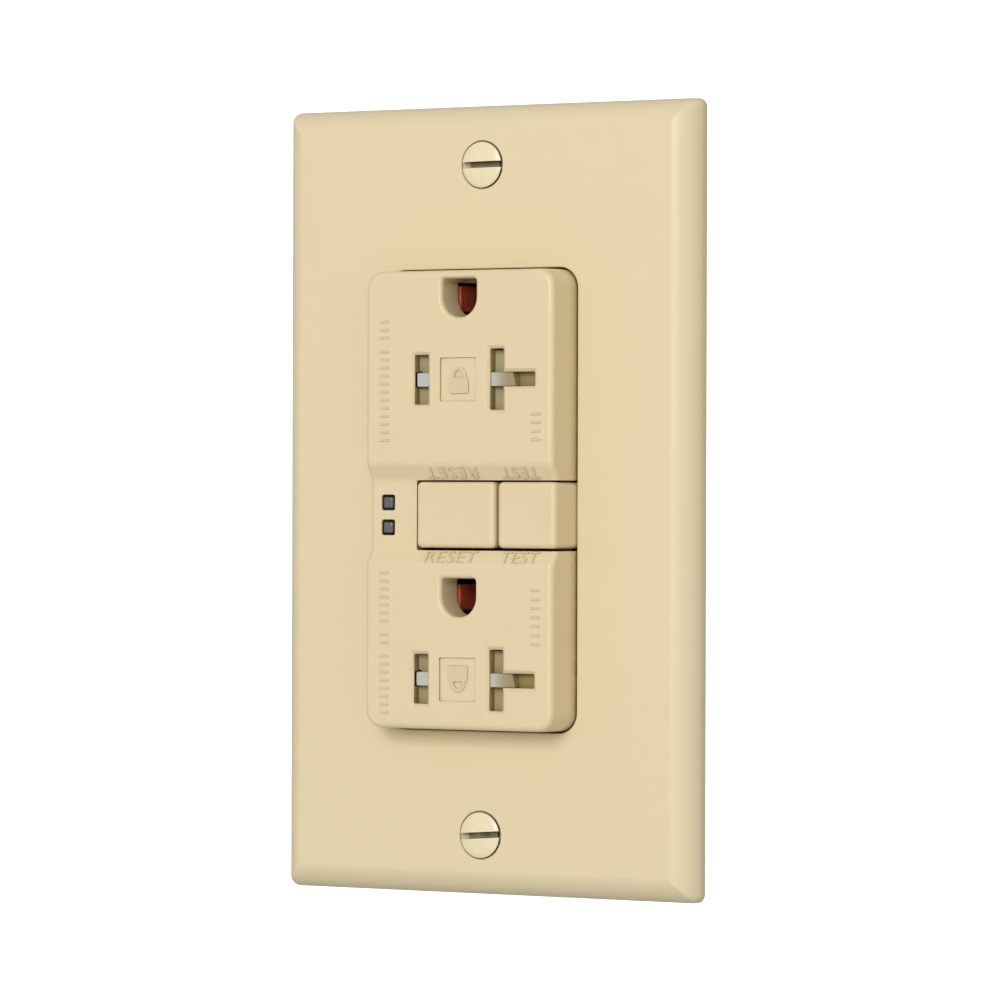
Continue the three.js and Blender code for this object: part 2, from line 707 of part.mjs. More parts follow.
// One brass strip per pole: both outlets' contacts, a fixed contact and the load terminal.
function makeBus(side) {
  const x = side * BLADE_X;
  const load = terminalPlate(side, BUS_FRONT, 19, TERMINAL_Z);
  const solids = [
    block(...spansOf(side, 7.3, 9.5), BUS_FRONT, BUS_BACK, -29, 21),
    block(...spansOf(side, 7.3, TERMINAL_OUTER), BUS_FRONT, BUS_BACK, 14.3, 20.3),
    load.plate,
    block(...spansOf(side, 6.7, 9.3), BUS_FRONT, 8.6, 4.6, 7.4),
    rod('y', 1.2, 8, 9.2, [side * ARM_X, 6], 12),
  ];
  const holes = [load.hole];
  for (const z of Object.values(OUTLETS)) {
    solids.push(alongZ(bladeLeaves(x), z - 3.3, z + 3.3));
    if (side > 0) {
      // Cross leaves for a horizontal blade, with the outer upright leaf cut away between them.
      const cross = ribbon([
        [-6.0, z + 2.1],
        [-4.4, z + 1.05],
        [BUS_FRONT + 0.4, z + 1.25],
        [BUS_FRONT + 0.4, z - 1.25],
        [-4.4, z - 1.05],
        [-6.0, z - 2.1],
      ], 0.6);
      solids.push(alongX(cross, 9.6, 12.4));
      holes.push(block(6.9, 9.0, -8, BUS_FRONT - 0.4, z - 2, z + 2));
      solids.push(block(7.3, 12.4, BUS_FRONT, BUS_BACK, z - 2, z + 2));
    }
  }
  return body(solids, holes);
}

// The supply side: from the line terminal, through the sensing cores, to the contact arm.
function makeLineTerminal(side) {
  const line = terminalPlate(side, 9.8, 21.5, -TERMINAL_Z);
  const run = [CORE_Z - 1.3, CORE_Z + 1.3];
  return body([
    line.plate,
    block(...spansOf(side, 1.0, TERMINAL_OUTER), 20.8, 21.5, ...run),
    block(...spansOf(side, 1.0, 2.4), 11.4, 21.5, ...run),
    block(...spansOf(side, 1.0, ARM_X + ARM_HALF_WIDTH), 11.4, 12.1, ...run),
    block(...spansOf(side, ARM_X - ARM_HALF_WIDTH, ARM_X + ARM_HALF_WIDTH), 11.4, 12.1, CORE_Z, -11.5),
  ], [line.hole]);
}

function makeContactArm(side) {
  const width = spansOf(side, ARM_X - ARM_HALF_WIDTH, ARM_X + ARM_HALF_WIDTH);
  return body([
    block(...width, 10.5, 11.1, -13, 8),
    rod('y', 1.2, 9.5, 10.8, [side * ARM_X, 6], 12),
  ]);
}

const terminalScrew = screw({
  headRadius: 3.8,
  headHeight: 2.2,
  shankRadius: 2.05,
  length: 8.2,
  slot: { width: 1.0, depth: 1.1 },
});

function makeClamp(side) {
  const plate = block(...spansOf(side, CLAMP_INNER, CLAMP_OUTER), -4, 4, -4.4, 4.4);
  return body([plate], [rod('x', 2.4, side * 13 - 3, side * 13 + 3, [0, 0])]);
}

for (const [pole, side, metal] of [['hot', -1, 'brass'], ['neutral', 1, 'nickel']]) {
  place(outlet, `${pole}_bus`, makeBus(side), 'brass');
  place(outlet, `line_${pole}_terminal`, makeLineTerminal(side), 'brass');
  place(outlet, `${pole}_contact_arm`, makeContactArm(side), 'copper');
  for (const [end, z] of [['load', TERMINAL_Z], ['line', -TERMINAL_Z]]) {
    const group = new THREE.Group();
    group.position.set(0, TERMINAL_Y, z);
    outlet.add(group);
    const seat = [side * (TERMINAL_OUTER + 0.3), 0, 0];
    place(group, `${end}_${pole}_screw`, terminalScrew, metal, seat, facingSide(side));
    place(group, `${end}_${pole}_clamp`, makeClamp(side), 'zincSteel');
  }
}

// ---------------------------------------------------------------- middle frame and housing

function makeMidFrame() {
  const rimW = FLANGE_HALF_WIDTH;
  const rimH = FLANGE_HALF_HEIGHT;
  const rim = 1.3;
  const outside = alongY(roundedRectangle(rimW, rimH, 1), FLANGE_BACK + 0.2, MID_FLOOR_BACK);
  const inside = block(-rimW + rim, rimW - rim, 0, MID_FLOOR_FRONT, -rimH + rim, rimH - rim);
  const strapWay = block(-STRAP_HALF_WIDTH - 0.3, STRAP_HALF_WIDTH + 0.3, 0, 4.8, -40, 40);
  const leafRest = block(10, 12.9, MID_FLOOR_BACK - 0.5, 9.0, -17, -15);
  const holes = [
    inside,
    strapWay,
    rod('y', 2.0, 0, 20, [PIN_X, BUTTON_Z]),
    block(TEST_STEM.left - 0.4, TEST_STEM.right + 0.4, 0, 20, TEST_STEM.bottom - 0.4, TEST_STEM.top + 0.4),
  ];
  for (const z of Object.values(LIGHT_PIPE_Z)) {
    holes.push(block(LIGHT_PIPE_X - 1.2, LIGHT_PIPE_X + 1.2, 0, 20, z - 1.2, z + 1.2));
  }
  for (const z of Object.values(OUTLETS)) {
    holes.push(rod('y', 3.2, 0, 20, [0, z + GROUND_RISE], 16));
  }
  for (const side of [1, -1]) {
    holes.push(block(...spansOf(side, 6.3, 9.7), 0, 20, 4.2, 7.8));
    holes.push(block(...spansOf(side, 16.9, 18.7), 0, 20, TERMINAL_Z - 5.3, TERMINAL_Z + 5.3));
    for (const sz of [1, -1]) {
      const axis = [side * HOUSING_SCREW_X, sz * HOUSING_SCREW_Z];
      holes.push(rod('y', HOUSING_SCREW_RADIUS + 0.3, 0, 20, axis, 12));
    }
  }
  return body([outside, leafRest], holes);
}

place(outlet, 'mid_frame', makeMidFrame(), 'greyPlastic');

function makeHousing() {
  const halfW = HOUSING_HALF_WIDTH;
  const halfH = HOUSING_HALF_HEIGHT;
  const wall = HOUSING_WALL;
  const outside = alongY(roundedRectangle(halfW, halfH, 1.5), HOUSING_FRONT, HOUSING_BACK);
  const insideW = halfW - wall;
  const insideH = halfH - wall;
  const cavity = alongZ(polygon([
    [-insideW, 0],
    [insideW, 0],
    [insideW, HOUSING_FLOOR - HOUSING_CHAMFER_DEPTH],
    [insideW - HOUSING_CHAMFER_WIDTH, HOUSING_FLOOR],
    [-insideW + HOUSING_CHAMFER_WIDTH, HOUSING_FLOOR],
    [-insideW, HOUSING_FLOOR - HOUSING_CHAMFER_DEPTH],
  ]), -insideH, insideH);
  const inner = [];
  const holes = [];
  // The long rear edges slope inwards.
  for (const side of [1, -1]) {
    holes.push(alongZ(polygon([
      [side * (halfW - HOUSING_CHAMFER_WIDTH), HOUSING_BACK],
      [side * halfW, HOUSING_BACK - HOUSING_CHAMFER_DEPTH],
      [side * (halfW + 5), HOUSING_BACK - HOUSING_CHAMFER_DEPTH],
      [side * (halfW + 5), HOUSING_BACK + 5],
      [side * (halfW - HOUSING_CHAMFER_WIDTH), HOUSING_BACK + 5],
    ]), -halfH - 1, halfH + 1));
  }
  for (const sx of [1, -1]) {
    for (const sz of [1, -1]) {
      // Screw columns in the corners, with a recess for each head.
      const column = spansOf(sx, 14.2, halfW - wall + 0.2);
      inner.push(block(...column, 20, HOUSING_FLOOR + 0.2, ...spansOf(sz, 27.4, halfH - wall + 0.2)));
      const axis = [sx * HOUSING_SCREW_X, sz * HOUSING_SCREW_Z];
      holes.push(rod('y', HOUSING_SCREW_RADIUS + 0.3, 0, HOUSING_BACK + 1, axis, 12));
      holes.push(rod('y', 2.8, 25, HOUSING_BACK + 1, axis, 16));
      // Posts under the circuit board.
      inner.push(rod('y', 1.5, BOARD_BACK + 0.2, HOUSING_FLOOR + 0.2, [sx * 11, sz * 23], 10));
      // An opening beside each terminal screw and two wire holes behind its clamp.
      const z = sz * TERMINAL_Z;
      const sideways = spansOf(sx, halfW - wall - 1, halfW + 1);
      holes.push(block(...sideways, 9.7, 19.3, z - 5.4, z + 5.4));
      for (const offset of [-2.9, 2.9]) {
        holes.push(rod('y', 1.6, HOUSING_FLOOR - 1, HOUSING_BACK + 1, [sx * 15.8, z + offset], 12));
      }
    }
  }
  const tub = body([outside], [cavity]);
  return body([tub, ...inner], holes);
}

place(outlet, 'rear_housing', makeHousing(), 'greyPlastic');

const housingScrew = screw({
  headRadius: 2.5,
  headHeight: 1.6,
  shankRadius: HOUSING_SCREW_RADIUS,
  length: 23.4,
  slot: { width: 0.7, depth: 0.8 },
});
for (const [height, sz] of [['upper', 1], ['lower', -1]]) {
  for (const [hand, sx] of [['right', 1], ['left', -1]]) {
    const seat = [sx * HOUSING_SCREW_X, 25.3, sz * HOUSING_SCREW_Z];
    place(outlet, `housing_screw_${height}_${hand}`, housingScrew, 'zincSteel', seat, FACING_BACK);
  }
}

// ---------------------------------------------------------------- circuit board and its parts

place(outlet, 'circuit_board', block(-13.9, 13.9, BOARD_FRONT, BOARD_BACK, -26, 26), 'boardGreen');
place(outlet, 'control_chip', block(2, 12, 20.9, 22.3, -9.5, -5.5), 'blackPlastic');
place(outlet, 'surge_varistor', rod('y', 4.2, 18.9, 22.2, [9.4, 4], 24), 'varistorBlue');
place(outlet, 'filter_capacitor', block(-12.5, -7.4, 16, 22.3, 2.2, 9.4), 'capacitorYellow');

for (const [name, z] of Object.entries(LIGHT_PIPE_Z)) {
  const pipe = block(LIGHT_PIPE_X - 0.85, LIGHT_PIPE_X + 0.85, -9.35, 20.7, z - 0.87, z + 0.87);
  const lamp = block(LIGHT_PIPE_X - 0.8, LIGHT_PIPE_X + 0.8, 21, 22.3, z - 0.8, z + 0.8);
  place(outlet, `light_pipe_${name}`, pipe, 'smokedLens');
  place(outlet, `led_${name}`, lamp, 'whitePlastic');
}

// ---------------------------------------------------------------- trip solenoid

const SOLENOID_AXIS = [PIN_X, SOLENOID_Y];

function flangeAt(z0, z1) {
  return block(PIN_X - 5.4, PIN_X + 5.4, SOLENOID_Y - 5.4, SOLENOID_Y + 5.4, z0, z1);
}

const bobbinTube = rod('z', 3.1, 6.2, 19.8, SOLENOID_AXIS);
const bobbinBore = rod('z', 2.5, 5, 21, SOLENOID_AXIS);
const bobbin = body([flangeAt(6, 6.8), flangeAt(19.2, 20), bobbinTube], [bobbinBore]);
place(outlet, 'solenoid_bobbin', bobbin, 'whitePlastic');

const windingOuter = rod('z', 5.2, 7.1, 18.9, SOLENOID_AXIS, 24);
const windingBore = rod('z', 3.4, 6, 20, SOLENOID_AXIS, 24);
place(outlet, 'solenoid_winding', body([windingOuter], [windingBore]), 'copperWinding');

const yoke = ribbon([[8.7, 5.1], [20.1, 5.1], [20.1, 20.8], [8.7, 20.8]], 1);
const yokeHole = rod('z', 1.6, 4, 6, SOLENOID_AXIS);
place(outlet, 'solenoid_frame', body([alongX(yoke, PIN_X - 5, PIN_X + 5)], [yokeHole]), 'zincSteel');

const plungerProfile = [[0, 3.5], [1.2, 3.5], [1.2, 9.2], [2.2, 9.2], [2.2, 18.4], [0, 18.4]];
place(outlet, 'solenoid_plunger', body([turned(plungerProfile)]), 'zincSteel', [...SOLENOID_AXIS, 0]);

const plungerSpring = coilSpring({ radius: 1.85, wire: 0.4, length: 2.8, turns: 4 });
place(outlet, 'plunger_spring', plungerSpring, 'springSteel', [...SOLENOID_AXIS, 5.95]);

// ---------------------------------------------------------------- latch and lifter

const lifterWings = block(-9.8, 9.8, 11.5, 13.5, -5.2, 0.9);
const lifterBody = block(-5.7, 4.3, 10.6, 17, -5.2, 0.9);
const lifterBore = rod('y', 1.8, 0, 20, [PIN_X, BUTTON_Z]);
const latchWay = block(-4.2, 2.8, 14.3, 15.4, -9, 4);
const lifter = body([lifterWings, lifterBody], [lifterBore, latchWay]);
place(outlet, 'lifter', lifter, 'blackPlastic');

const latchPlate = body([block(-3.9, 2.5, 14.55, 15.15, -6.8, 3.2)], [block(-2.5, 1.1, 14, 16, -4.0, 1.6)]);
place(outlet, 'latch_plate', latchPlate, 'zincSteel');

// ---------------------------------------------------------------- sensing cores

function ring(outer, inner, y0, y1, sides) {
  const axis = [0, CORE_Z];
  return body([rod('y', outer, y0, y1, axis, sides)], [rod('y', inner, y0 - 1, y1 + 1, axis, sides)]);
}

place(outlet, 'differential_core', ring(6.9, 3.9, 13.0, 16.0, 24), 'ferrite');
place(outlet, 'neutral_core', ring(6.9, 3.9, 16.3, 19.3, 24), 'ferrite');
const carrierWall = ring(8.1, 7.2, 12.7, 20.4, 24);
const carrierFloor = ring(7.6, 3.9, 19.6, 20.4, 24);
place(outlet, 'core_carrier', body([carrierWall, carrierFloor]), 'whitePlastic');

export default outlet;
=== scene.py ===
import math

import bmesh
import bpy
import numpy as np
from mathutils import Matrix, Vector


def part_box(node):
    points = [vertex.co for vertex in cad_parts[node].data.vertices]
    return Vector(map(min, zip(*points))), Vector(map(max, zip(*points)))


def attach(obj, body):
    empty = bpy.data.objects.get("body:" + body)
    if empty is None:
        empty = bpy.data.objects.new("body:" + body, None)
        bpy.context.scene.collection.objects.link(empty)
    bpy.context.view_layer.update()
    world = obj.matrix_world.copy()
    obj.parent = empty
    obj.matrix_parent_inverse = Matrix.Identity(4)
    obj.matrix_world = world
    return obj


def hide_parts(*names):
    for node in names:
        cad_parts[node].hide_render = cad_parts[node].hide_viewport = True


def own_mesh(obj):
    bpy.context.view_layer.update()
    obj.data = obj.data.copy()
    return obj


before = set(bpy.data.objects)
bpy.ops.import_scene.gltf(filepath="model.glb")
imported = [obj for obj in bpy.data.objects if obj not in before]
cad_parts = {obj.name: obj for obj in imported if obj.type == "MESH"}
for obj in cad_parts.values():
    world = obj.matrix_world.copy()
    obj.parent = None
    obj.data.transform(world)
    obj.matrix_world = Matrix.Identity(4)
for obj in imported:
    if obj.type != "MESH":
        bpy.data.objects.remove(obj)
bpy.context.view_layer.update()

bl_info = {
    "name": "Ground-fault outlet",
    "version": (1, 0, 0),
    "blender": (4, 5, 0),
    "location": "3D View > Sidebar > Outlet",
    "description": "Detailed pieces, finishes and a studio for a ground-fault outlet with its wall plate",
    "category": "Add Mesh",
}

# X runs right, Z up and Y back into the wall. Shapes are worked out in millimetres.
MM = 0.001
FRONT = -11.1  # the face's front plane
BAND = -9.7  # the lower band between the two outlets
CHAMFER_Z = {"lower": (-9.3, -7.2), "upper": (2.8, 5.1)}  # the slopes beside the band
OUTLET_Z = {"upper": 17.3, "lower": -25.8}
BLADE_X = 6.35
GROUND_RISE = 11.8  # from the blade slots to the middle of the ground hole
WINDOW = (16.24, 33.4)  # half the width and height of the plate's window
LAMP_X = -12.8
LAMP_Z = {"upper": -0.4, "lower": -4.0}
PLATE_SCREW_Z = 48.42
BOX_SCREW_Z = 41.67
SHELL_SCREW_X, SHELL_SCREW_Z = 17.2, 30.5
TERMINAL_Z = 17.3
TERMINAL_Y = 14.3
BUTTON_Z = -2.15
BUTTON_BACK = -3.2
PIN_X = -0.7
TURN = 2 * math.pi
CORNERS = ((-1, -1), (-1, 1), (1, -1), (1, 1))  # signs of X and Z


# ---------------------------------------------------------------- grids and lofts

def grid_faces(rows, columns, wrap_rows=False, wrap_columns=True):
    """Quads of a grid of points: each point with its right, upper right and upper neighbour."""
    index = np.arange(rows * columns).reshape(rows, columns)
    if wrap_rows:
        index = np.vstack([index, index[:1]])
    if wrap_columns:
        index = np.hstack([index, index[:, :1]])
    quads = np.stack([index[:-1, :-1], index[:-1, 1:], index[1:, 1:], index[1:, :-1]], axis=-1)
    return quads.reshape(-1, 4)


def loft(rings, caps=True, wrap=False):
    """Closed rings joined in order. The two end rings are closed by flat caps, or joined to each
    other when wrap is set."""
    rings = np.asarray(rings, float)
    rows, columns = rings.shape[:2]
    faces = grid_faces(rows, columns, wrap_rows=wrap).tolist()
    if caps and not wrap:
        faces.append(list(range(columns)))
        faces.append(list(range((rows - 1) * columns, rows * columns)))
    return rings.reshape(-1, 3), faces


def poled(rings, first, last):
    """Rings joined in order, with each end closed by a fan to one point."""
    rings = np.asarray(rings, float)
    rows, columns = rings.shape[:2]
    points = np.vstack([rings.reshape(-1, 3), [first], [last]])
    faces = grid_faces(rows, columns).tolist()
    for row, tip in ((0, len(points) - 2), (rows - 1, len(points) - 1)):
        edge = row * columns + np.arange(columns)
        faces += np.stack([edge, np.roll(edge, -1), np.full(columns, tip)], axis=-1).tolist()
    return points, faces


def prism(section, axis, ends):
    """A flat section carried straight along one axis (0, 1 or 2) between two places on it."""
    return loft([np.insert(np.asarray(section, float), axis, place, axis=1) for place in ends])


def corner_rect(half_w, half_h, radii, centre=(0, 0), arc=8):
    """Points (x, z) of a rectangle, anticlockwise, whose corners are circle arcs of one or four
    given radii."""
    radii = np.broadcast_to(np.asarray(radii, float), (4,))
    turn = np.linspace(0, math.pi / 2, arc + 1)
    corners = []
    for quarter, (sx, sz) in enumerate(((1, 1), (-1, 1), (-1, -1), (1, -1))):
        r = radii[quarter]
        angle = turn + quarter * math.pi / 2
        x = centre[0] + sx * (half_w - r) + r * np.cos(angle)
        z = centre[1] + sz * (half_h - r) + r * np.sin(angle)
        corners.append(np.stack([x, z], axis=-1))
    return np.vstack(corners)


def at_depth(outline, y):
    """An (x, z) outline lifted into space at one depth, or at a depth for each point."""
    depth = np.broadcast_to(np.asarray(y, float), (len(outline),))
    return np.stack([outline[:, 0], depth, outline[:, 1]], axis=-1)


def quarter(steps):
    """Sines and cosines over a quarter turn, for rounded edges."""
    turn = np.linspace(0, math.pi / 2, steps)
    return list(zip(np.sin(turn), np.cos(turn)))


def merged(*shells):
    """Several closed shells as one list of points and faces."""
    points, faces, base = [], [], 0
    for shell_points, shell_faces in shells:
        points.append(np.asarray(shell_points, float))
        faces += [[i + base for i in face] for face in shell_faces]
        base += len(shell_points)
    return np.vstack(points), faces


def moved(shell, matrix):
    """A shell with a 4x4 matrix, in millimetres, applied to all its points at once."""
    points, faces = shell
    m = np.array(matrix)
    return points @ m[:3, :3].T + m[:3, 3], faces


def to_mesh(name, shell):
    """A Blender mesh in metres, with its faces turned outwards."""
    points, faces = shell
    mesh = bpy.data.meshes.new(name)
    mesh.from_pydata((np.asarray(points) * MM).tolist(), [], faces)
    work = bmesh.new()
    work.from_mesh(mesh)
    bmesh.ops.recalc_face_normals(work, faces=work.faces)
    work.to_mesh(mesh)
    work.free()
    return mesh


def to_object(name, shell):
    piece = bpy.data.objects.new(name, to_mesh(name, shell))
    bpy.context.scene.collection.objects.link(piece)
    return piece


def baked(piece):
    """Applies the piece's modifiers to its mesh."""
    graph = bpy.context.evaluated_depsgraph_get()
    mesh = bpy.data.meshes.new_from_object(piece.evaluated_get(graph))
    piece.modifiers.clear()
    old = piece.data
    piece.data = mesh
    bpy.data.meshes.remove(old)
    return piece


def combined(piece, shells, operation="DIFFERENCE"):
    """Cuts closed shells from the piece, or joins them to it, all at once."""
    holder = bpy.data.collections.new("tools")
    tools = []
    for shell in shells:
        tool = bpy.data.objects.new("tool", to_mesh("tool", shell))
        holder.objects.link(tool)
        tools.append(tool)
    bpy.context.scene.collection.children.link(holder)
    change = piece.modifiers.new("combine", "BOOLEAN")
    change.operation = operation
    change.operand_type = "COLLECTION"
    change.collection = holder
    change.solver = "EXACT"
    baked(piece)
    for tool in tools:
        mesh = tool.data
        bpy.data.objects.remove(tool)
        bpy.data.meshes.remove(mesh)
    bpy.data.collections.remove(holder)
    return piece


def finished(piece, look, body, nodes, angle=32):
    """Smooth faces with creases past an angle, the finish, and the piece's place in the frame."""
    mesh = piece.data
    mesh.polygons.foreach_set("use_smooth", np.ones(len(mesh.polygons), bool))
    mesh.set_sharp_from_angle(angle=math.radians(angle))
    mesh.materials.clear()
    mesh.materials.append(finish(look))
    weigh = piece.modifiers.new("shading", "WEIGHTED_NORMAL")
    weigh.keep_sharp = True
    weigh.weight = 80
    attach(piece, body)
    if nodes:
        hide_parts(*nodes)
    return piece


# ---------------------------------------------------------------- shapes that several pieces use

def soft_block(x, y, z, radius=0.3, corner=None, arc=4, front=True, back=True):
    """A box whose outline has round corners and whose front and back edges are quarter circles."""
    corner = radius if corner is None else corner
    half_w, half_h = (x[1] - x[0]) / 2, (z[1] - z[0]) / 2
    centre = ((x[0] + x[1]) / 2, (z[0] + z[1]) / 2)
    rings = []

    def ring(inset, depth):
        r = max(corner - inset, 0.02)
        outline = corner_rect(half_w - inset, half_h - inset, r, centre, arc)
        rings.append(at_depth(outline, depth))

    if front:
        for s, c in quarter(4):
            ring(radius * (1 - s), y[0] + radius * (1 - c))
    else:
        ring(0, y[0])
    if back:
        for s, c in reversed(quarter(4)):
            ring(radius * (1 - s), y[1] - radius * (1 - c))
    else:
        ring(0, y[1])
    return loft(rings)


def mouth(outline_of, front, back, flare, depth, steps=5):
    """A cutter for a hole with a soft mouth: an outline that grows by flare on a quarter circle
    near the front."""
    rings = [at_depth(outline_of(flare), front - 1.0)]
    for s, c in quarter(steps):
        rings.append(at_depth(outline_of(flare * (1 - s)), front + depth * (1 - c)))
    rings.append(at_depth(outline_of(0), back))
    return loft(rings)


def bevelled_mouth(outline_of, front, back, flare, depth):
    """The cutter for a slot whose edge is a straight bevel, eased a little where it ends."""
    rings = [at_depth(outline_of(flare + 0.02), front - 1)]
    for share, grow in ((0, 1.03), (0.07, 0.9), (0.5, 0.46), (0.9, 0.07), (1, 0)):
        rings.append(at_depth(outline_of(flare * grow), front + depth * share))
    rings.append(at_depth(outline_of(0), back))
    return loft(rings)


def turned(profile, axis_to, sides=32):
    """A profile of (radius, height) turned about an axis; both ends lie on the axis."""
    profile = np.asarray(profile, float)
    angle = np.linspace(0, TURN, sides, endpoint=False)
    radius, height = profile[1:-1, 0], profile[1:-1, 1]
    rings = np.stack([
        radius[:, None] * np.cos(angle),
        radius[:, None] * np.sin(angle),
        np.broadcast_to(height[:, None], (len(radius), sides)),
    ], axis=-1)
    shell = poled(rings, (0, 0, profile[0, 1]), (0, 0, profile[-1, 1]))
    return moved(shell, axis_to)


def axis_frame(origin, direction, spin=0.0):
    """A frame whose local Z points along direction and whose local X is spun about it."""
    z = Vector(direction).normalized()
    up = Vector((0, 0, 1)) if abs(z.z) < 0.9 else Vector((0, 1, 0))
    x = up.cross(z).normalized()
    y = z.cross(x)
    turn = Matrix((x, y, z)).transposed().to_4x4()
    return Matrix.Translation(origin) @ turn @ Matrix.Rotation(spin, 4, "Z")


def rod(radius, y0, y1, x, z, sides=32):
    """A round bar along Y."""
    profile = [(0, 0), (radius, 0), (radius, y1 - y0), (0, y1 - y0)]
    return turned(profile, axis_frame((x, y0, z), (0, 1, 0)), sides)


def screw_shell(head_r, head_h, dome, cone, shank_r, length, pitch=0.8, sides=28):
    """A screw on local Z, head up. Radius is a function of height and angle: a domed head, then
    a shank whose radius rises and falls as a triangle wave of height over pitch plus the turn."""
    rim = np.linspace(0.02, 1, 9)[1:]
    heights = [head_h + dome * math.sqrt(max(1 - r * r, 0)) for r in rim * 0.97]
    edge = min(0.12, head_h / 3)
    radii = [*(rim * head_r * 0.97), head_r, head_r]
    heights += [max(heights[-1] - edge, 0.02), 0.0]
    if cone > 0:
        radii += [shank_r * 1.02]
        heights += [-cone]
    else:
        radii += [shank_r * 1.08, shank_r]
        heights += [0.0, -0.25]
    start = heights[-1] - 0.3
    rows = np.arange(start, -length + 0.5, -pitch / 6)
    angle = np.linspace(0, TURN, sides, endpoint=False)
    phase = (rows[:, None] / pitch + angle / TURN) % 1.0
    wave = np.clip(np.abs(phase - 0.5) * 2.6 - 0.15, 0, 1)
    fade = np.clip((start - rows) / pitch, 0, 1) * np.clip((rows + length) / 1.2, 0.25, 1)
    thread = shank_r - 0.34 * pitch * wave * fade[:, None]
    thread *= np.clip(0.72 + 0.28 * (rows + length), 0.72, 1)[:, None]
    plain = np.broadcast_to(np.asarray(radii)[:, None], (len(radii), sides))
    radius = np.vstack([plain, thread, np.full((1, sides), shank_r * 0.6)])
    height = np.concatenate([heights, rows, [-length]])
    rings = np.stack([
        radius * np.cos(angle),
        radius * np.sin(angle),
        np.broadcast_to(height[:, None], radius.shape),
    ], axis=-1)
    return poled(rings, (0, 0, head_h + dome), (0, 0, -length))


def slot_shell(width, depth, top, reach):
    """The cutter for a screwdriver slot: a bar with a slightly round floor."""
    half, floor = width / 2, top - depth
    return prism([
        (-half, top + 1), (-half, floor + 0.12), (-half * 0.7, floor),
        (half * 0.7, floor), (half, floor + 0.12), (half, top + 1),
    ], 0, (-reach, reach))


def helix_shell(radius, wire, length, turns, sides=8, per_turn=20):
    """A spring on local Z: a circle of the wire's radius carried along a helix whose last
    three quarters of a turn at each end close up, as ground ends do."""
    steps = int(turns * per_turn) + 1
    t = np.linspace(0, turns, steps)
    pace = np.clip(np.minimum(t, turns - t) / 0.75, 0.25, 1)
    climb = np.concatenate([[0], np.cumsum((pace[1:] + pace[:-1]) / 2)])
    z = wire / 2 + (length - wire) * climb / climb[-1]
    angle = TURN * t
    out = np.stack([np.cos(angle), np.sin(angle), np.zeros(steps)], axis=-1)
    centre = out * radius
    centre[:, 2] = z
    around = np.linspace(0, TURN, sides, endpoint=False)[None, :, None]
    up = np.array([0, 0, 1.0])
    return loft(centre[:, None, :] + wire / 2 * (np.cos(around) * out[:, None, :] + np.sin(around) * up))


# ---------------------------------------------------------------- shared effects

def new_group(name, inputs, outputs):
    """A shader node group with named number, colour and vector sockets."""
    group = bpy.data.node_groups.new(name, "ShaderNodeTree")
    kinds = {"value": "NodeSocketFloat", "colour": "NodeSocketColor", "vector": "NodeSocketVector"}
    for label, kind, default in inputs:
        socket = group.interface.new_socket(label, in_out="INPUT", socket_type=kinds[kind])
        if default is not None:
            socket.default_value = default
    for label, kind in outputs:
        group.interface.new_socket(label, in_out="OUTPUT", socket_type=kinds[kind])
    start = group.nodes.new("NodeGroupInput")
    end = group.nodes.new("NodeGroupOutput")
    return group, start, end


def feed(tree, socket, value):
    """Links one socket to another, or gives it a constant."""
    if isinstance(value, bpy.types.NodeSocket):
        tree.links.new(value, socket)
    else:
        socket.default_value = value


def object_place(tree):
    return tree.nodes.new("ShaderNodeTexCoord").outputs["Object"]


def math_node(tree, operation, first, second):
    node = tree.nodes.new("ShaderNodeMath")
    node.operation = operation
    feed(tree, node.inputs[0], first)
    feed(tree, node.inputs[1], second)
    return node.outputs[0]


def product(tree, first, second):
    return math_node(tree, "MULTIPLY", first, second)


def noise_node(tree, vector, scale, detail=2.0, roughness=0.5):
    node = tree.nodes.new("ShaderNodeTexNoise")
    node.inputs["Detail"].default_value = detail
    node.inputs["Roughness"].default_value = roughness
    tree.links.new(vector, node.inputs["Vector"])
    feed(tree, node.inputs["Scale"], scale)
    return node.outputs["Fac"]


def remap(tree, value, low, high, to_low=0.0, to_high=1.0):
    node = tree.nodes.new("ShaderNodeMapRange")
    tree.links.new(value, node.inputs["Value"])
    for label, number in (("From Min", low), ("From Max", high), ("To Min", to_low), ("To Max", to_high)):
        node.inputs[label].default_value = number
    return node.outputs["Result"]


def mixed(tree, kind, factor, first, second):
    """Two colours (RGBA) or two numbers (FLOAT) mixed by a factor."""
    node = tree.nodes.new("ShaderNodeMix")
    node.data_type = kind
    tree.links.new(factor, node.inputs["Factor"])
    feed(tree, node.inputs["A"], first)
    feed(tree, node.inputs["B"], second)
    return node.outputs["Result"]


def build_mottle():
    """Two close colours mixed by broad soft noise, and the same noise as a value."""
    group, start, end = new_group("Mottle", [
        ("Main", "colour", (0.8, 0.8, 0.8, 1)),
        ("Second", "colour", (0.7, 0.7, 0.7, 1)),
        ("Size", "value", 60.0),
    ], [("Colour", "colour"), ("Value", "value")])
    place, size = object_place(group), start.outputs["Size"]
    broad = noise_node(group, place, size, detail=3.0)
    fine = noise_node(group, place, product(group, size, 9.0))
    both = math_node(group, "ADD", product(group, broad, 0.7), product(group, fine, 0.3))
    spread = remap(group, both, 0.25, 0.75)
    colour = mixed(group, "RGBA", spread, start.outputs["Main"], start.outputs["Second"])
    group.links.new(colour, end.inputs["Colour"])
    group.links.new(spread, end.inputs["Value"])


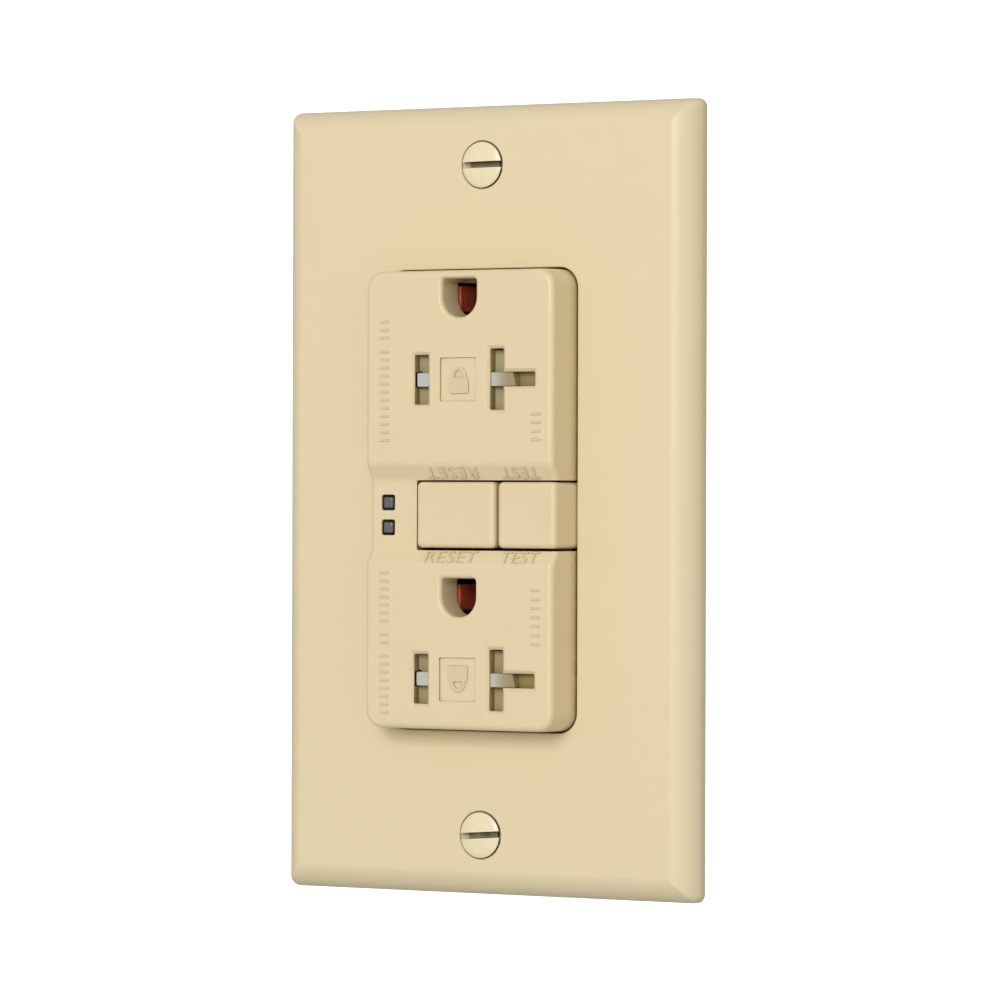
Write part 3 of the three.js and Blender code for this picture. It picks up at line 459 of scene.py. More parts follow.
def build_grain():
    """Height of a fine moulded or cast texture: small noise with a little coarser noise under it."""
    group, start, end = new_group("Grain", [("Size", "value", 4000.0)], [("Height", "value")])
    place, size = object_place(group), start.outputs["Size"]
    fine = noise_node(group, place, size, roughness=0.6)
    broad = noise_node(group, place, product(group, size, 0.12), detail=1.0)
    height = math_node(group, "ADD", product(group, fine, 0.6), product(group, broad, 0.4))
    group.links.new(height, end.inputs["Height"])


def build_streaks():
    """Drawing and rolling marks: noise stretched along one axis by a scale for each axis."""
    inputs = [("Scale", "vector", (4000, 4000, 120))]
    group, start, end = new_group("Streaks", inputs, [("Height", "value")])
    scaled = group.nodes.new("ShaderNodeVectorMath")
    scaled.operation = "MULTIPLY"
    group.links.new(object_place(group), scaled.inputs[0])
    group.links.new(start.outputs["Scale"], scaled.inputs[1])
    lines = noise_node(group, scaled.outputs["Vector"], 1.0, detail=3.0, roughness=0.6)
    group.links.new(remap(group, lines, 0.3, 0.7), end.inputs["Height"])


def build_edge_wear():
    """One on worn outer edges: how far the rounded normal turns from the true one, broken up by
    noise."""
    group, start, end = new_group("Edge wear", [
        ("Radius", "value", 0.0004),
        ("Amount", "value", 0.6),
    ], [("Mask", "value")])
    rounded = group.nodes.new("ShaderNodeBevel")
    rounded.samples = 4
    group.links.new(start.outputs["Radius"], rounded.inputs["Radius"])
    same = group.nodes.new("ShaderNodeVectorMath")
    same.operation = "DOT_PRODUCT"
    group.links.new(rounded.outputs["Normal"], same.inputs[0])
    group.links.new(group.nodes.new("ShaderNodeNewGeometry").outputs["Normal"], same.inputs[1])
    turn = remap(group, same.outputs["Value"], 0.99, 0.75)
    patches = remap(group, noise_node(group, object_place(group), 900.0, detail=3.0), 0.42, 0.62)
    worn = product(group, product(group, turn, patches), start.outputs["Amount"])
    group.links.new(worn, end.inputs["Mask"])


def build_crevice_shade():
    """Painted shade, one deep in corners: what is left of the light that reaches a point from close round
    it.
    """
    group, start, end = new_group("Crevice dust", [
        ("Reach", "value", 0.0015),
        ("Amount", "value", 0.5),
    ], [("Mask", "value")])
    reached = group.nodes.new("ShaderNodeAmbientOcclusion")
    reached.samples = 4
    group.links.new(start.outputs["Reach"], reached.inputs["Distance"])
    hidden = remap(group, reached.outputs["AO"], 0.75, 0.2)
    patches = remap(group, noise_node(group, object_place(group), 500.0, detail=3.0), 0.3, 0.7, 0.5, 1.0)
    crease_shade = product(group, product(group, hidden, patches), start.outputs["Amount"])
    group.links.new(crease_shade, end.inputs["Mask"])


EFFECTS = {
    "Mottle": build_mottle,
    "Grain": build_grain,
    "Streaks": build_streaks,
    "Edge wear": build_edge_wear,
    "Crevice dust": build_crevice_shade,
}


def place_effect(tree, effect, **values):
    """An effect's group in a material, with its own values. The group is built when first used."""
    if effect not in bpy.data.node_groups:
        EFFECTS[effect]()
    node = tree.nodes.new("ShaderNodeGroup")
    node.node_tree = bpy.data.node_groups[effect]
    for label, value in values.items():
        node.inputs[label].default_value = value
    return node


# ---------------------------------------------------------------- finishes

def shade(colour, factor):
    return tuple(min(c * factor, 1.0) for c in colour)


def colour_of(colour):
    """Three numbers as they are, or one of the scene's colours by its name and a factor."""
    if isinstance(colour[0], str):
        label, factor = colour
        return shade(getattr(bpy.context.scene.outlet_colours, label), factor)
    return colour


# Each finish has a main and a second colour, the mottle's size, the roughness from and to, a grain
# size or the three scales of its streaks, the bump's strength and its depth in micrometres, the
# amounts of wear and of painted shade in crevices, and what else sets it apart.
FINISHES = {
    # The ivory's long-reaching crevice mask and dark colour paint the shade deep in the slots and ground
    # holes.
    "ivory": (("ivory", 1), ("ivory", 0.97), 45, (0.34, 0.42), 5200, 0.35, 30, 0.1, 1.5,
              {"reach": 0.004, "shade_colour": (0.27, 0.195, 0.055)}),
    # A darker copy of the ivory for the raised signs and words: painted shade on and round the letters.
    "ivory_sign": (("ivory", 0.91), ("ivory", 0.87), 45, (0.34, 0.42), 5200, 0.35, 30, 0.1, 0.6,
                   {"shade_colour": (0.3, 0.22, 0.07)}),
    # The shutters' ivory is darkened: painted shade for the parts that sit deep behind the slots.
    "ivory_shutter": ((0.36, 0.272, 0.1), (0.32, 0.235, 0.08), 200, (0.34, 0.46), 5200, 0.3, 30, 0.1, 0.8,
                      {"shade_colour": (0.14, 0.1, 0.03)}),
    # The white tab fades along X into a painted shade, the olive of the shaded shutters.
    "tab_nylon": ((0.52, 0.52, 0.47), (0.47, 0.47, 0.42), 300, (0.25, 0.36), 4000, 0.2, 30, 0.2, 0.3,
                  {"fade": (5.7, 8.9, (0.34, 0.265, 0.125))}),
    "ivory_plate": (("plate", 1), ("plate", 0.98), 30, (0.34, 0.41), 3600, 0.12, 30, 0.1, 0.1,
                    {"specular": 0.32}),
    "ivory_button": (("button", 1), ("button", 0.97), 70, (0.3, 0.38), 5200, 0.25, 30, 0.3, 0.2, {}),
    # The screw's strong crevice mask and dark colour paint the shade in its driver slot and round its head.
    "painted_screw": (("enamel", 1), ("enamel", 0.93), 500, (0.28, 0.4), 2600, 0.5, 40, 0.4, 1.8,
                      {"wear_colour": ("enamel", 1.15), "reach": 0.0022, "shade_colour": (0.1, 0.075, 0.025),
                       "coat": 0.25}),
    "zinc_steel": ((0.55, 0.56, 0.57), (0.47, 0.48, 0.47), 220, (0.26, 0.42), (5200, 900, 900), 0.35, 30,
                   0.7, 0.4, {"metallic": 1.0, "wear_colour": (0.8, 0.8, 0.8)}),
    "spring_steel": ((0.42, 0.43, 0.45), (0.3, 0.3, 0.31), 900, (0.2, 0.34), 9000, 0.3, 20, 0.3, 0.3,
                     {"metallic": 1.0}),
    "brass": ((0.66, 0.44, 0.14), (0.55, 0.34, 0.1), 180, (0.2, 0.36), (900, 900, 5200), 0.4, 30, 0.6, 0.4,
              {"metallic": 1.0, "wear_colour": (0.85, 0.65, 0.3)}),
    "nickel": ((0.66, 0.63, 0.56), (0.58, 0.55, 0.49), 200, (0.16, 0.3), 5000, 0.3, 20, 0.5, 0.4,
               {"metallic": 1.0, "wear_colour": (0.85, 0.83, 0.78)}),
    "copper": ((0.8, 0.14, 0.055), (0.36, 0.05, 0.02), 420, (0.3, 0.48), (5200, 900, 160), 0.8, 60, 0.4, 0.3,
               {"metallic": 0.15, "wear_colour": (0.6, 0.28, 0.14), "shade_colour": (0.05, 0.015, 0.008)}),
    "green_screw": ((0.02, 0.22, 0.08), (0.015, 0.14, 0.05), 500, (0.25, 0.42), 4000, 0.3, 30, 0.8, 0.4,
                    {"metallic": 0.85, "wear_colour": (0.45, 0.5, 0.45)}),
    "grey_plastic": ((0.32, 0.33, 0.32), (0.27, 0.28, 0.27), 120, (0.42, 0.6), 3000, 0.6, 50, 0.5, 0.4,
                     {"wear_colour": (0.45, 0.46, 0.45)}),
    "white_plastic": ((0.66, 0.66, 0.6), (0.6, 0.59, 0.52), 300, (0.25, 0.36), 4000, 0.2, 30, 0.3, 0.25,
                      {"coat": 0.2}),
    "black_plastic": ((0.022, 0.02, 0.018), (0.016, 0.014, 0.012), 200, (0.36, 0.5), 3500, 0.4, 40, 0.5, 0.3,
                      {"wear_colour": (0.08, 0.08, 0.085), "shade_colour": (0.06, 0.055, 0.05)}),
    # Near-black, for the collar that paints the shade in the gap round each lamp lens.
    "lamp_black": ((0.006, 0.005, 0.004), (0.009, 0.008, 0.006), 300, (0.5, 0.65), 3500, 0.4, 30, 0.1, 0.2,
                   {"shade_colour": (0.004, 0.003, 0.002), "specular": 0.2}),
    "board_green": ((0.03, 0.14, 0.06), (0.02, 0.1, 0.045), 300, (0.3, 0.42), (2600, 2600, 2600), 0.25, 30,
                    0.3, 0.3, {"wear_colour": (0.35, 0.3, 0.14), "coat": 0.4}),
    "copper_winding": ((0.45, 0.14, 0.05), (0.3, 0.08, 0.03), 600, (0.18, 0.3), (60, 60, 9000), 1.0, 120,
                       0.2, 0.3, {"metallic": 0.6, "coat": 0.6}),
    "ferrite": ((0.045, 0.045, 0.05), (0.03, 0.03, 0.034), 400, (0.5, 0.7), 5000, 0.8, 60, 0.6, 0.4,
                {"wear_colour": (0.12, 0.12, 0.13)}),
    "varistor_blue": ((0.03, 0.11, 0.32), (0.025, 0.08, 0.25), 400, (0.22, 0.4), 1800, 0.7, 80, 0.2, 0.3,
                      {"coat": 0.3}),
    "capacitor_yellow": ((0.6, 0.36, 0.04), (0.5, 0.3, 0.03), 260, (0.3, 0.45), (400, 400, 2600), 0.3, 40,
                         0.3, 0.3, {}),
    "smoked_lens": ((0.13, 0.125, 0.13), (0.1, 0.1, 0.105), 500, (0.06, 0.16), 3000, 0.1, 20, 0.3, 0.3,
                    {"wear_colour": (0.3, 0.3, 0.32), "coat": 0.5}),
}
WEAR_RADIUS = 0.0004
SHADE_REACH = 0.0015
CREVICE_ROUGHNESS = 0.85
COAT_ROUGHNESS = 0.1


def finish(look):
    """A finish's material, made when first asked for: mottled colour, rougher and smoother patches, fine
    relief, worn edges, painted shade in corners and hollows, and for some a painted shade fading in along X."""
    name = f"{look} finish"
    if name in bpy.data.materials:
        return bpy.data.materials[name]
    main, second, size, roughness, relief, bump, depth, wear, crease_shade, more = FINISHES[look]
    main, second = colour_of(main), colour_of(second)
    wear_colour = colour_of(more["wear_colour"]) if "wear_colour" in more else shade(main, 1.18)
    shade_colour = more.get("shade_colour") or shade(main, 0.62)
    material = bpy.data.materials.new(name)
    material.use_nodes = True
    tree = material.node_tree
    surface = tree.nodes["Principled BSDF"]
    surface.inputs["Metallic"].default_value = more.get("metallic", 0.0)
    surface.inputs["Specular IOR Level"].default_value = more.get("specular", 0.5)
    surface.inputs["Coat Weight"].default_value = more.get("coat", 0.0)
    surface.inputs["Coat Roughness"].default_value = COAT_ROUGHNESS
    mottle = place_effect(tree, "Mottle", Main=(*main, 1), Second=(*second, 1), Size=size)
    worn = place_effect(tree, "Edge wear", Radius=WEAR_RADIUS, Amount=wear).outputs["Mask"]
    # The crevice mask darkens the colour: painted shade where little light reaches from close by.
    reach = more.get("reach", SHADE_REACH)
    shade_mask = place_effect(tree, "Crevice dust", Reach=reach, Amount=crease_shade).outputs["Mask"]
    colour = mixed(tree, "RGBA", worn, mottle.outputs["Colour"], (*wear_colour, 1))
    colour = mixed(tree, "RGBA", shade_mask, colour, (*shade_colour, 1))
    if "fade" in more:
        start, end, other = more["fade"]
        across = tree.nodes.new("ShaderNodeSeparateXYZ")
        tree.links.new(object_place(tree), across.inputs["Vector"])
        # Painted shade fading in along X: one minus the square of what is left, so that the fade starts fast
        # and ends softly.
        left = remap(tree, across.outputs["X"], start * MM, end * MM, 1.0, 0.0)
        share = math_node(tree, "SUBTRACT", 1.0, product(tree, left, left))
        colour = mixed(tree, "RGBA", share, colour, (*other, 1))
    tree.links.new(colour, surface.inputs["Base Color"])
    rough = mixed(tree, "FLOAT", mottle.outputs["Value"], *roughness)
    tree.links.new(mixed(tree, "FLOAT", shade_mask, rough, CREVICE_ROUGHNESS), surface.inputs["Roughness"])
    if isinstance(relief, tuple):
        texture = place_effect(tree, "Streaks", Scale=relief)
    else:
        texture = place_effect(tree, "Grain", Size=relief)
    lift = tree.nodes.new("ShaderNodeBump")
    lift.inputs["Strength"].default_value = bump
    lift.inputs["Distance"].default_value = depth * 1e-6
    tree.links.new(texture.outputs["Height"], lift.inputs["Height"])
    tree.links.new(lift.outputs["Normal"], surface.inputs["Normal"])
    return material


# ---------------------------------------------------------------- wall plate

def plate_shell(sizes):
    """The plate's section carried round a rectangle: window wall, flat front, a bevel between a
    straight line and a quarter circle whose corners sharpen into mitres inwards, the back rim
    and the hollow behind."""
    low, high = (Vector(v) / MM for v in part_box("wall_plate"))
    half_w, half_h = (high.x - low.x) / 2, (high.z - low.z) / 2
    front, bevel = low.y, sizes.plate_bevel / MM
    (window_w, window_h), window_r, soft, bulge = WINDOW, 3.0, 0.2, 0.72
    wall, floor = 1.8, front + 1.8
    rings = []

    def ring(w, h, r, y):
        rings.append(at_depth(corner_rect(w, h, max(r, 0.05), arc=8), y))

    ring(window_w, window_h, window_r, floor)
    for s, c in reversed(quarter(5)):
        grow = soft * (1 - s)
        ring(window_w + grow, window_h + grow, window_r + grow, front + soft * (1 - c))
    inner_w, inner_h = half_w - bevel, half_h - bevel
    for share in (0.35, 0.8):
        ring(window_w + (inner_w - window_w) * share, window_h + (inner_h - window_h) * share,
             window_r * (1 - share) + 0.3, front)
    for s, c in reversed(quarter(13)):
        line = (c + 1 - s) / 2
        out, drop = bevel * (line + (c - line) * bulge), bevel * (line + (1 - s - line) * bulge)
        ring(inner_w + out, inner_h + out, 0.1 + 1.2 * (out / bevel) ** 3, front + drop)
    ring(half_w, half_h, 1.3, -0.25)
    ring(half_w - 0.08, half_h - 0.08, 1.22, -0.07)
    ring(half_w - 0.25, half_h - 0.25, 1.05, 0.0)
    ring(half_w - wall, half_h - wall, 0.9, 0.0)
    ring(half_w - wall - 0.1, half_h - wall - 0.1, 0.9, floor + 0.8)
    ring(half_w - wall - 0.9, half_h - wall - 0.9, 0.6, floor)
    return loft(rings, wrap=True)


def countersink(z):
    """The seat of a plate screw: a round hole that opens into a cone with a soft lip."""
    profile = [
        (0, -5), (2.05, -5), (2.05, 1.3), (3.5, 2.75), (3.52, 3.12), (3.6, 3.2), (3.6, 5), (0, 5),
    ]
    return turned(profile, axis_frame((0, -1.6, z), (0, -1, 0)), 48)


def make_wall_plate(sizes):
    plate = to_object("plate_moulding", plate_shell(sizes))
    ribs = []
    for side in (-1, 1):
        for z in (-45, -15, 15, 45):
            span = sorted((side * 18.6, side * 33.4))
            ribs.append(soft_block(span, (-3.6, -1.4), (z - 0.45, z + 0.45), 0.15))
    combined(plate, ribs, "UNION")
    combined(plate, [countersink(PLATE_SCREW_Z), countersink(-PLATE_SCREW_Z)])
    finished(plate, "ivory_plate", "receptacle", ["wall_plate"], angle=28)


# ---------------------------------------------------------------- face cover

def face_front(z, step=0.45):
    """Depth of the face's front at height z: two blocks joined to a lower band by straight
    chamfers, averaged over a short span so that their corners are round."""
    heights = (-50, *CHAMFER_Z["lower"], *CHAMFER_Z["upper"], 50)
    depths = (FRONT, FRONT, BAND, BAND, FRONT, FRONT)
    shifts = np.linspace(-step, step, 9)
    return np.mean([np.interp(np.asarray(z) + shift, heights, depths) for shift in shifts], axis=0)


def face_rows(limit):
    """Heights for the points on the long sides, close together where the front bends."""
    bends = [np.linspace(z - 0.5, z + 0.5, 9) for ends in CHAMFER_Z.values() for z in ends]
    return np.unique(np.concatenate([[-limit], *bends, [limit]]))


def face_outline(inset, arc=10):
    """The face's outline moved inwards: straight sides with one point for each row, round corners."""
    full_w, full_h, corner = 16.1, 33.2, 2.8
    half_w, half_h, r = full_w - inset, full_h - inset, corner - inset
    rows = face_rows(full_h - corner)
    turn = np.linspace(0, math.pi / 2, arc + 1)
    cx, cz = half_w - r, half_h - r
    right = np.stack([np.full(len(rows), half_w), rows], axis=-1)
    top_right = np.stack([cx + r * np.cos(turn), cz + r * np.sin(turn)], axis=-1)[1:]
    top_left = np.stack([-cx - r * np.sin(turn), cz + r * np.cos(turn)], axis=-1)[:-1]
    left = np.stack([np.full(len(rows), -half_w), rows[::-1]], axis=-1)
    low_left = np.stack([-cx - r * np.cos(turn), -cz - r * np.sin(turn)], axis=-1)[1:]
    low_right = np.stack([cx + r * np.sin(turn), -cz - r * np.cos(turn)], axis=-1)[:-1]
    return np.vstack([right, top_right, top_left, left, low_left, low_right]), len(rows), arc


def face_blank(ease):
    """Rings from the flange to the front, the front edge a quarter circle, then strips straight
    across between the two long sides, so that the front follows its depth exactly."""
    draft = 0.18
    outline, rows, arc = face_outline(0)
    rings = [at_depth(outline, 0.6)]
    for s, c in quarter(6):
        outline, _, _ = face_outline(draft + ease * (1 - c))
        rings.append(at_depth(outline, face_front(outline[:, 1]) + ease * (1 - s)))
    points, faces = loft(rings, caps=False)
    count = len(outline)
    base = (len(rings) - 1) * count
    side, low_right = rows + arc, 2 * rows + 3 * arc
    right = np.concatenate([np.arange(low_right, count), np.arange(side)])
    left = np.arange(side, low_right)[::-1]
    strips = np.stack([left[:-1], right[:-1], right[1:], left[1:]], axis=-1) + base
    faces += strips.tolist()
    faces.append(list(range(count)))
    return points, faces


def slot_outlines(z):
    """The blade slots of one outlet: the hot slot, and the upright and the arm of the T."""
    bars = ((-BLADE_X - 0.1, 1.2, 3.6), (BLADE_X, 1.15, 4.4), (BLADE_X + 2.65, 3.75, 1.05))
    return [lambda grow, x=x, w=w, h=h: corner_rect(w + grow, h + grow, 0.22 + grow * 0.3, (x, z), 4)
            for x, w, h in bars]


def ground_outline(z):
    """Flat on top, half round below."""
    middle = z + GROUND_RISE - 0.04

    def outline(grow):
        radii = (0.5 + grow, 0.5 + grow, 2.86 + grow, 2.86 + grow)
        return corner_rect(2.9 + grow, 2.76 + grow, radii, (0, middle), 10)
    return outline


def lamp_outline(z):
    return lambda grow: corner_rect(1.12 + grow, 1.12 + grow, 0.3 + grow * 0.5, (LAMP_X, z), 5)


def mark_outline(z):
    return lambda grow: corner_rect(3.1 + grow, 3.15 + grow, 0.2, (0, z), 3)


def raised_bar(x, z, half_w, half_h, height=0.14):
    """A low bar standing on the front face, its edges leaning in."""
    foot = corner_rect(half_w, half_h, 0.1, (x, z), 2)
    top = corner_rect(half_w - 0.06, half_h - 0.06, 0.05, (x, z), 2)
    return loft([at_depth(foot, FRONT + 0.2), at_depth(foot, FRONT - 0.02), at_depth(top, FRONT - height)])


def tick_rows():
    """Rows of small raised ticks beside the slots: (x, start z, end z, groups of ticks). The gap
    between two groups is a share of the pitch."""
    shells, gap = [], 0.7
    for x, start, end, groups in (
        (-12.6, 26.3, 8.0, (3, 12)), (-12.6, -10.0, -31.3, (7, 2, 8)),
        (13.1, 12.9, 8.0, (4,)), (13.1, -12.2, -21.2, (7,)),
    ):
        pitch = (start - end) / (sum(groups) + (len(groups) - 1) * gap)
        z = start - pitch / 2
        for group in groups:
            for _ in range(group):
                shells.append(raised_bar(x, z, 0.85, 0.2))
                z -= pitch
            z -= pitch * gap
    return shells


def padlock_shells(z, up):
    """A plain padlock standing in its sunk square: a round-cornered body and an arched bow."""
    floor, top = FRONT + 0.32, FRONT + 0.06
    middle = (0, z - up * 0.85)
    foot, lid = corner_rect(1.65, 1.15, 0.3, middle, 4), corner_rect(1.58, 1.08, 0.24, middle, 4)
    body = [at_depth(foot, floor), at_depth(foot, top + 0.06), at_depth(lid, top)]
    turn = np.linspace(0, math.pi, 17)
    arch = np.stack([np.cos(turn), np.sin(turn)], axis=-1)
    path = np.vstack([[(1.0, -0.3)], arch, [(-1.0, -0.3)]])
    out = np.vstack([[(1, 0)], arch, [(-1, 0)]])
    section = [
        (-0.26, floor), (-0.26, top + 0.05), (-0.2, top), (0.2, top), (0.26, top + 0.05), (0.26, floor),
    ]
    rings = np.stack([
        np.stack([
            path[:, 0] + out[:, 0] * d,
            np.full(len(path), y),
            z + up * (0.55 + path[:, 1] + out[:, 1] * d),
        ], axis=-1)
        for d, y in section
    ], axis=1)
    return [loft(body), loft(rings)]


def word_shell(text, x0, x1, y, z, slope, turned_over):
    """A raised word on a chamfer, from Blender's own letters, made a mesh and then placed."""
    curve = bpy.data.curves.new("letters", "FONT")
    curve.body = text
    curve.extrude = 0.5
    curve.resolution_u = 3
    curve.offset = -0.012
    letters = bpy.data.objects.new("letters", curve)
    bpy.context.scene.collection.objects.link(letters)
    bpy.context.view_layer.update()
    mesh = letters.to_mesh()
    work = bmesh.new()
    work.from_mesh(mesh)
    bmesh.ops.remove_doubles(work, verts=work.verts, dist=1e-5)
    work.verts.ensure_lookup_table()
    points = np.array([v.co for v in work.verts])
    faces = [[v.index for v in face.verts] for face in work.faces]
    work.free()
    letters.to_mesh_clear()
    bpy.data.objects.remove(letters)
    bpy.data.curves.remove(curve)
    low, high = points.min(0), points.max(0)
    height, raise_by = 1.95, 0.3
    local = (points - (low + high) / 2) / (high - low) * np.array([x1 - x0, height, raise_by])
    flip = -1 if turned_over else 1
    right = np.array([flip, 0, 0])
    up = flip * np.array([0, -math.sin(slope), math.cos(slope)])
    out = np.array([0, -math.cos(slope), -math.sin(slope)])
    centre = np.array([(x0 + x1) / 2, y, z])
    return centre + local[:, :1] * right + local[:, 1:2] * up + local[:, 2:] * out, faces


def make_face_cover(sizes):
    cover = to_object("face_moulding", face_blank(sizes.face_ease / MM))
    flange = soft_block((-21.2, 21.2), (0.2, 3.0), (-34.2, 34.2), 0.25, 1.0)
    combined(cover, [flange], "UNION")
    inside = (-14.3, 14.3)
    cavity = [
        soft_block(inside, (-8.2, 6), (-31.4, 31.4), 0.2, 0.8, back=False),
        soft_block(inside, (-9.6, -7), (5.9, 31.4), 0.2, 0.8, back=False),
        soft_block(inside, (-9.6, -7), (-31.4, -10.1), 0.2, 0.8, back=False),
    ]
    holes, guides = [
        soft_block((-7.85, 17.5), (-12.1, -1.2), (-7.28, 2.84), 0.25, 0.3, front=False, back=False),
    ], []
    for z in OUTLET_Z.values():
        for outline in slot_outlines(z):
            holes.append(bevelled_mouth(outline, FRONT, -8, sizes.slot_entry / MM, 0.45))
        holes.append(soft_block((-12, 13.9), (-10.42, -9), (z - 1.08, z + 1.08), 0.1, 0.3))
        tube = ground_outline(z)
        holes.append(mouth(tube, FRONT, -5, 0.55, 0.75, 7))
        holes.append(mouth(mark_outline(z), FRONT, FRONT + 0.3, 0.05, 0.05, 2))
        guides.append(loft([at_depth(tube(1.0), -10.3), at_depth(tube(1.0), -6.6)]))
    for z in LAMP_Z.values():
        holes.append(mouth(lamp_outline(z), BAND, -7, 0.12, 0.15, 4))
    for sx, sz in CORNERS:
        x, z = sx * SHELL_SCREW_X, sz * SHELL_SCREW_Z
        guides.append(rod(2.4, 2.5, 5.6, x, z))
        holes.append(rod(1.8, 0.9, 7, x, z))
    combined(cover, cavity)
    combined(cover, guides, "UNION")
    combined(cover, holes)
    finished(cover, "ivory", "receptacle", ["face_cover"], angle=30)

    words = []
    for side, turned_over in (("upper", True), ("lower", False)):
        low, high = CHAMFER_Z[side]
        slope = math.atan2(BAND - FRONT, high - low) * (1 if turned_over else -1)
        for text, x0, x1 in (("RESET", -5.8, 2.9), ("TEST", 7.0, 13.3)):
            words.append(word_shell(text, x0, x1, (FRONT + BAND) / 2, (low + high) / 2, slope, turned_over))
    locks = padlock_shells(OUTLET_Z["upper"], 1) + padlock_shells(OUTLET_Z["lower"], -1)
    signs = merged(*tick_rows(), *locks)
    for name, shell in (("button_words", merged(*words)), ("face_signs", signs)):
        piece = to_object(name, shell)
        # The signs and words take the darker ivory: painted shade on the raised letters.
        finished(piece, "ivory_sign", "receptacle", [], angle=40)


def make_lamps():
    """Each lamp window is a smoked pipe with a soft square end inside a near-black collar, which paints the
    shade in the gap round the lens.
    """
    for height, z in LAMP_Z.items():
        pipe = f"light_pipe_{height}"
        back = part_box(pipe)[1][1] / MM

        def square(half, y, r=0.25):
            return at_depth(corner_rect(half, half, r, (LAMP_X, z), 5), y)

        lens = to_object(f"lamp_lens_{height}", loft([
            square(0.78, back), square(0.78, BAND + 0.22), square(0.74, BAND + 0.06),
            square(0.64, BAND - 0.02), square(0.45, BAND - 0.06, 0.15),
        ]))
        finished(lens, "smoked_lens", "receptacle", [pipe], angle=60)
        collar = to_object(f"lamp_collar_{height}", loft([
            square(1.11, -7.2), square(1.11, BAND + 0.36), square(0.8, BAND + 0.4), square(0.8, -7.2),
        ], wrap=True))
        finished(collar, "lamp_black", "receptacle", [], angle=40)


# ---------------------------------------------------------------- buttons

def button_shell(left, right, sizes):
    """A hollow key: rings inset on a quarter circle at the front edge, then rings shrinking to
    a pole whose depth falls as one minus the square of the share, which dishes the front."""
    centre = ((left + right) / 2, BUTTON_Z)
    half_w, half_h = (right - left) / 2, 4.75
    front, back, wall, roof = -10.5, BUTTON_BACK, 1.2, 1.4
    ease, dish = sizes.button_ease / MM, sizes.button_dish / MM
    rings = []

    def ring(inset, y, share=1.0):
        w, h = (half_w - inset) * share, (half_h - inset) * share
        r = min(max(0.75 - inset * 0.6, 0.1) * share, w)
        rings.append(at_depth(corner_rect(w, h, r, centre, 5), y))

    for share in (0.3, 1.0):
        ring(wall, front + roof, share)
    ring(wall, back + 0.1)
    ring(wall - 0.1, back)
    ring(0.1, back)
    ring(0, back - 0.1)
    for s, c in quarter(8):
        ring(ease * (1 - c), front + ease * (1 - s))
    for share in (0.92, 0.8, 0.62, 0.42, 0.2):
        ring(ease, front + dish * (1 - share ** 2), share)
    return poled(rings, (centre[0], front + roof, centre[1]), (centre[0], front + dish, centre[1]))


def make_buttons(sizes):
    reset = to_object("reset_key", button_shell(-7.5, 5.8, sizes))
    combined(reset, [rod(2.6, -9.3, BUTTON_BACK, PIN_X, BUTTON_Z)], "UNION")
    combined(reset, [rod(1.6, -8.2, -2, PIN_X, BUTTON_Z)])
    finished(reset, "ivory_button", "reset", ["reset_button"])
    test = to_object("test_key", button_shell(6.3, 16.05, sizes))
    combined(test, [soft_block((10.2, 12.7), (-9.3, 8.9), (-3.6, -0.7), 0.2)], "UNION")
    finished(test, "ivory_button", "test", ["test_button"])

    profile = [
        (0, -17.8), (0.5, -17.8), (0.9, -17.4), (1.3, -16.6), (1.3, -15.4), (1.22, -15.3), (0.8, -15.3),
        (0.8, -14.3), (1.22, -14.3), (1.3, -14.2), (1.3, 7.7), (1.1, 7.9), (0, 7.9),
    ]
    pin = to_object("latch_pin", turned(profile, axis_frame((PIN_X, 0, BUTTON_Z), (0, -1, 0))))
    finished(pin, "zinc_steel", "reset", ["reset_pin"])


# ---------------------------------------------------------------- screws and springs

SCREW_KINDS = {
    # head radius, head height, dome, cone, shank radius, length, pitch, slot width and depth
    "plate": (3.3, 0.25, 0.5, 1.3, 1.75, 12.7, 0.8, 0.92, 1.5),
    "box": (3.7, 0.4, 0.9, 0, 1.75, 25.0, 0.8, 1.0, 0.8),
    "terminal": (3.8, 2.2, 0.0, 0, 2.05, 8.2, 0.8, 1.0, 1.1),
    "ground": (4.2, 2.6, 0.0, 0, 2.05, 7.5, 0.8, 1.0, 1.2),
    "shell": (2.3, 1.3, 0.0, 0, 1.5, 23.4, 1.1, 0.7, 0.8),
}


def make_screw(name, kind, seat, facing, node, body, look, spin, crossed=False):
    head_r, head_h, dome, cone, shank_r, length, pitch, slot_w, slot_d = SCREW_KINDS[kind]
    place = axis_frame(seat, facing, math.radians(spin))
    piece = to_object(name, moved(screw_shell(head_r, head_h, dome, cone, shank_r, length, pitch), place))
    groove = slot_shell(slot_w, slot_d, head_h + dome, head_r + 1)
    cutters = [moved(groove, place)]
    if crossed:
        # A second, shorter groove across the first, for a cross-point driver.
        across = slot_shell(slot_w * 0.9, slot_d * 0.9, head_h + dome, head_r * 0.62)
        cutters.append(moved(across, place @ Matrix.Rotation(math.pi / 2, 4, "Z")))
    combined(piece, cutters)
    finished(piece, look, body, [node], angle=38)


